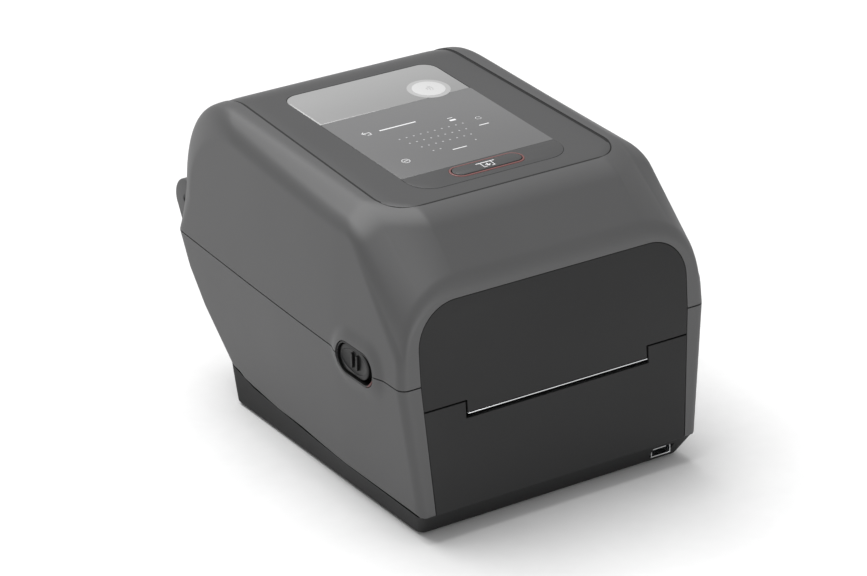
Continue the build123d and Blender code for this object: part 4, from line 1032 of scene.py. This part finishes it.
screen_lift = 0.06
back_arrow = [
    ((-39, 10.5), (-34, 10.5)), ((-39, 10.5), (-37.4, 12.0)), ((-39, 10.5), (-37.4, 9.0)),
    ((-34, 10.5), (-34, 7.6)), ((-34, 7.6), (-36.5, 7.6)),
]
marks = [bar(start, end, 0.5, screen_lift) for start, end in back_arrow]
heading = ((-27, 9.4), (-3, 9.4), 1.1)
space_bar = ((-5, -34), (4, -34), 0.8)
enter_bar = ((27, -14), (33, -14), 0.8)
marks += [bar(*line, screen_lift) for line in (heading, space_bar, enter_bar)]
marks += hoop((-37, -33), 2.4, 0.6, screen_lift)
marks += [bar((-38, -33), (-36, -33), 0.6, screen_lift)]
marks += hoop((32, -5), 1.6, 0.5, screen_lift, 30, 330)
marks += [bar((16, 3.4), (19, 3.4), 0.5, screen_lift), bar((16.4, 0.2), (18.6, 0.2), 1.8, screen_lift)]
finished(join_shapes(*marks), "screen_signs", icon_white, "cover")

# %% Keys on the screen
dots = []
for row, (count, start_x) in enumerate([(10, -24.0), (9, -21.8), (8, -18.6), (7, -15.6)]):
    for number in range(count):
        middle = (start_x + 4.9 * number, -6.5 - 7.6 * row)
        if row < 3 or number in (0, 1, 6):
            dots.append(round_plate(middle, 0.6, 0.1, screen_lift, edge=0.0, sides=8))
finished(join_shapes(*dots), "screen_keys", key_grey, "cover")

# %% Signs on the reader and the key
waves = []
for radius in (1.6, 3.2, 4.8):
    waves += hoop((disc_middle[0] - 2.6, disc_middle[1]), radius, 0.35, 0.24, -40, 40, 8)
finished(join_shapes(*waves), "reader_waves", halo_grey, "cover")
feed_lift = 0.74
line, tip, corner = key_middle[1] + 2.2, key_middle[1] - 2.6, key_middle[1] - 3.2
sign = [bar((-6.0, line), (6.0, line), 0.7, feed_lift), bar((0, tip + 3.2), (0, tip), 0.7, feed_lift)]
for side in (-1, 1):
    sign += [
        bar((0, tip), (1.5 * side, tip + 1.6), 0.6, feed_lift),
        bar((3.6 * side, corner + 5.0), (3.6 * side, corner), 0.5, feed_lift),
        bar((3.6 * side, corner), (1.9 * side, corner), 0.5, feed_lift),
    ]
finished(join_shapes(*sign), "feed_sign", icon_white, "feed_key")

# %% [markdown]
# Each latch is a black slide in an oval cup. The cup has a fine rim, the slide is dished with two grip
# ribs, and a red flag shows at the front end of the cup while the latch is at rest.

# %% Latches
cup_face = half + 1.6
cup_long, cup_tall = latch_length - 0.6, latch_height - 0.6
slide_middle = latch_y + 2.5
slide_long, slide_tall = 30.4, 17.0
rib_height = 1.5
for side, word in ((-1, "left"), (1, "right")):
    plane = side_face(side, cup_face)
    oval = (side * latch_y, seam)
    cup = plate(stadium(oval, cup_long, cup_tall), 8.5, plane, edge=0.5)
    cup = carve(cup, plate(stadium(oval, cup_long - 2.2, cup_tall - 2.2), 12, plane, above=4.7))
    finished(cup, f"latch_cup_{word}", button_plastic, "cover", ["latch_housings"])
    middle = (side * slide_middle, seam)
    slide = plate(stadium(middle, slide_long, slide_tall), 4.6, plane, edge=0.8, above=-1.2)
    bowl = bmesh.new()
    bmesh.ops.create_uvsphere(bowl, u_segments=48, v_segments=24, radius=1.0)
    bmesh.ops.scale(bowl, vec=(13.2, 7.0, 1.5), verts=bowl.verts)
    bowl.transform(plane @ Matrix.Translation((middle[0], middle[1], -1.1)))
    slide = carve(slide, bowl)
    for at in (middle[0] - 2.6, middle[0] + 2.6):
        rib = plate(
            rectangle(at - 0.8, seam - 4.4, at + 0.8, seam + 4.4), rib_height + 1.2, plane,
            edge=0.3, above=-1.0,
        )
        slide = join_shapes(slide, rib)
    finished(
        slide, f"latch_slide_{word}", button_plastic, f"{word}_latch", [f"latch_{word}"]
    )
    flag = plate(stadium(oval, cup_long - 0.4, cup_tall - 0.4), 0.6, plane, edge=0.1, above=0.12)
    flag = carve(flag, plate(stadium(oval, cup_long - 5.6, cup_tall - 4.4), 8, plane, above=4))
    end, inner = side * (latch_y - 24), side * (latch_y - 8)
    keep = plate([(end, seam - 14), (inner, seam - 14), (end, seam + 3)], 8, plane, above=4)
    flag = carve(flag, keep, "INTERSECT")
    finished(flag, f"latch_flag_{word}", red_plastic, "cover", ["latch_flags"])

# %% [markdown]
# The remaining pieces have the right shape already, but their meshes are loose triangles with knife
# edges. Each is copied, merged and given small rounded edges, because a moulded or turned edge always
# catches a line of light. The working pieces themselves are left alone.


# %% Dress the remaining pieces
def dressed(node, material, edge):
    source = frame["nodes"][node]
    shape = bmesh.new()
    shape.from_mesh(source.data)
    shape.transform(Matrix.Scale(1 / MM, 4))
    bmesh.ops.remove_doubles(shape, verts=shape.verts, dist=0.002)
    bmesh.ops.dissolve_limit(shape, angle_limit=math.radians(0.5), verts=shape.verts, edges=shape.edges)
    piece = finished(shape, f"{node}_dressed", material, source["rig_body"], [node])
    if edge:
        soften = piece.modifiers.new("soft edges", "BEVEL")
        soften.width = edge * MM
        soften.segments = 2
        soften.limit_method = "ANGLE"
        soften.angle_limit = math.radians(38)
    return piece


finishes = {
    tray_plastic: {"connector_panel": 0.4},
    blackened_steel: {"hinge_pins": 0.2},
    soft_rubber: {"rubber_feet": 0.3, "platen_rubber": 0.3},
    bright_steel: {
        "case_screws": 0.1, "holder_rods": 0.2, "sensor_rod": 0.2, "platen_shaft": 0.2, "head_pivot": 0.2,
        "head_springs": 0.0, "front_usb_port": 0.2, "usb_device_port": 0.2, "network_port": 0.2,
    },
    plated_sheet: {
        "cover_frame": 0.2, "head_bracket": 0.2, "stepper_motor": 0.4, "ribbon_motor": 0.4,
        "display_module": 0.3,
    },
    milled_aluminium: {"print_head": 0.3},
    sintered_brass: {"platen_bearings": 0.2, "motor_pinion": 0.08, "ribbon_pinion": 0.08},
    acetal: {"platen_gear": 0.1, "idler_gear": 0.1, "ribbon_gear": 0.1, "holder_pinion": 0.1},
    inner_plastic: {
        "media_chassis": 0.5, "holder_left": 0.4, "holder_right": 0.4, "ribbon_supply_spindle": 0.4,
        "ribbon_takeup_spindle": 0.4,
    },
    button_plastic: {"power_jack": 0.3, "power_button": 0.3, "gap_sensor": 0.3, "board_components": 0.3},
    solder_resist: {"main_board": 0.1, "display_board": 0.1},
    label_paper: {"label_roll": 0.3, "label_web": 0.0},
    card_board: {"roll_core": 0.1},
    ribbon_film: {"ribbon_supply_roll": 0.2, "ribbon_takeup_roll": 0.2},
}
for material, nodes in finishes.items():
    for node, edge in nodes.items():
        dressed(node, material, edge)

# %% [markdown]
# The overall box is measured once more at the end. The dressed pieces should fill the working model's
# box and never stand outside it.

# %% Measure the overall box once more
low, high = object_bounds()
outside = max(*(cad_low - low), *(high - cad_high)) / MM
print("largest step outside the working model", round(outside, 2), "mm")
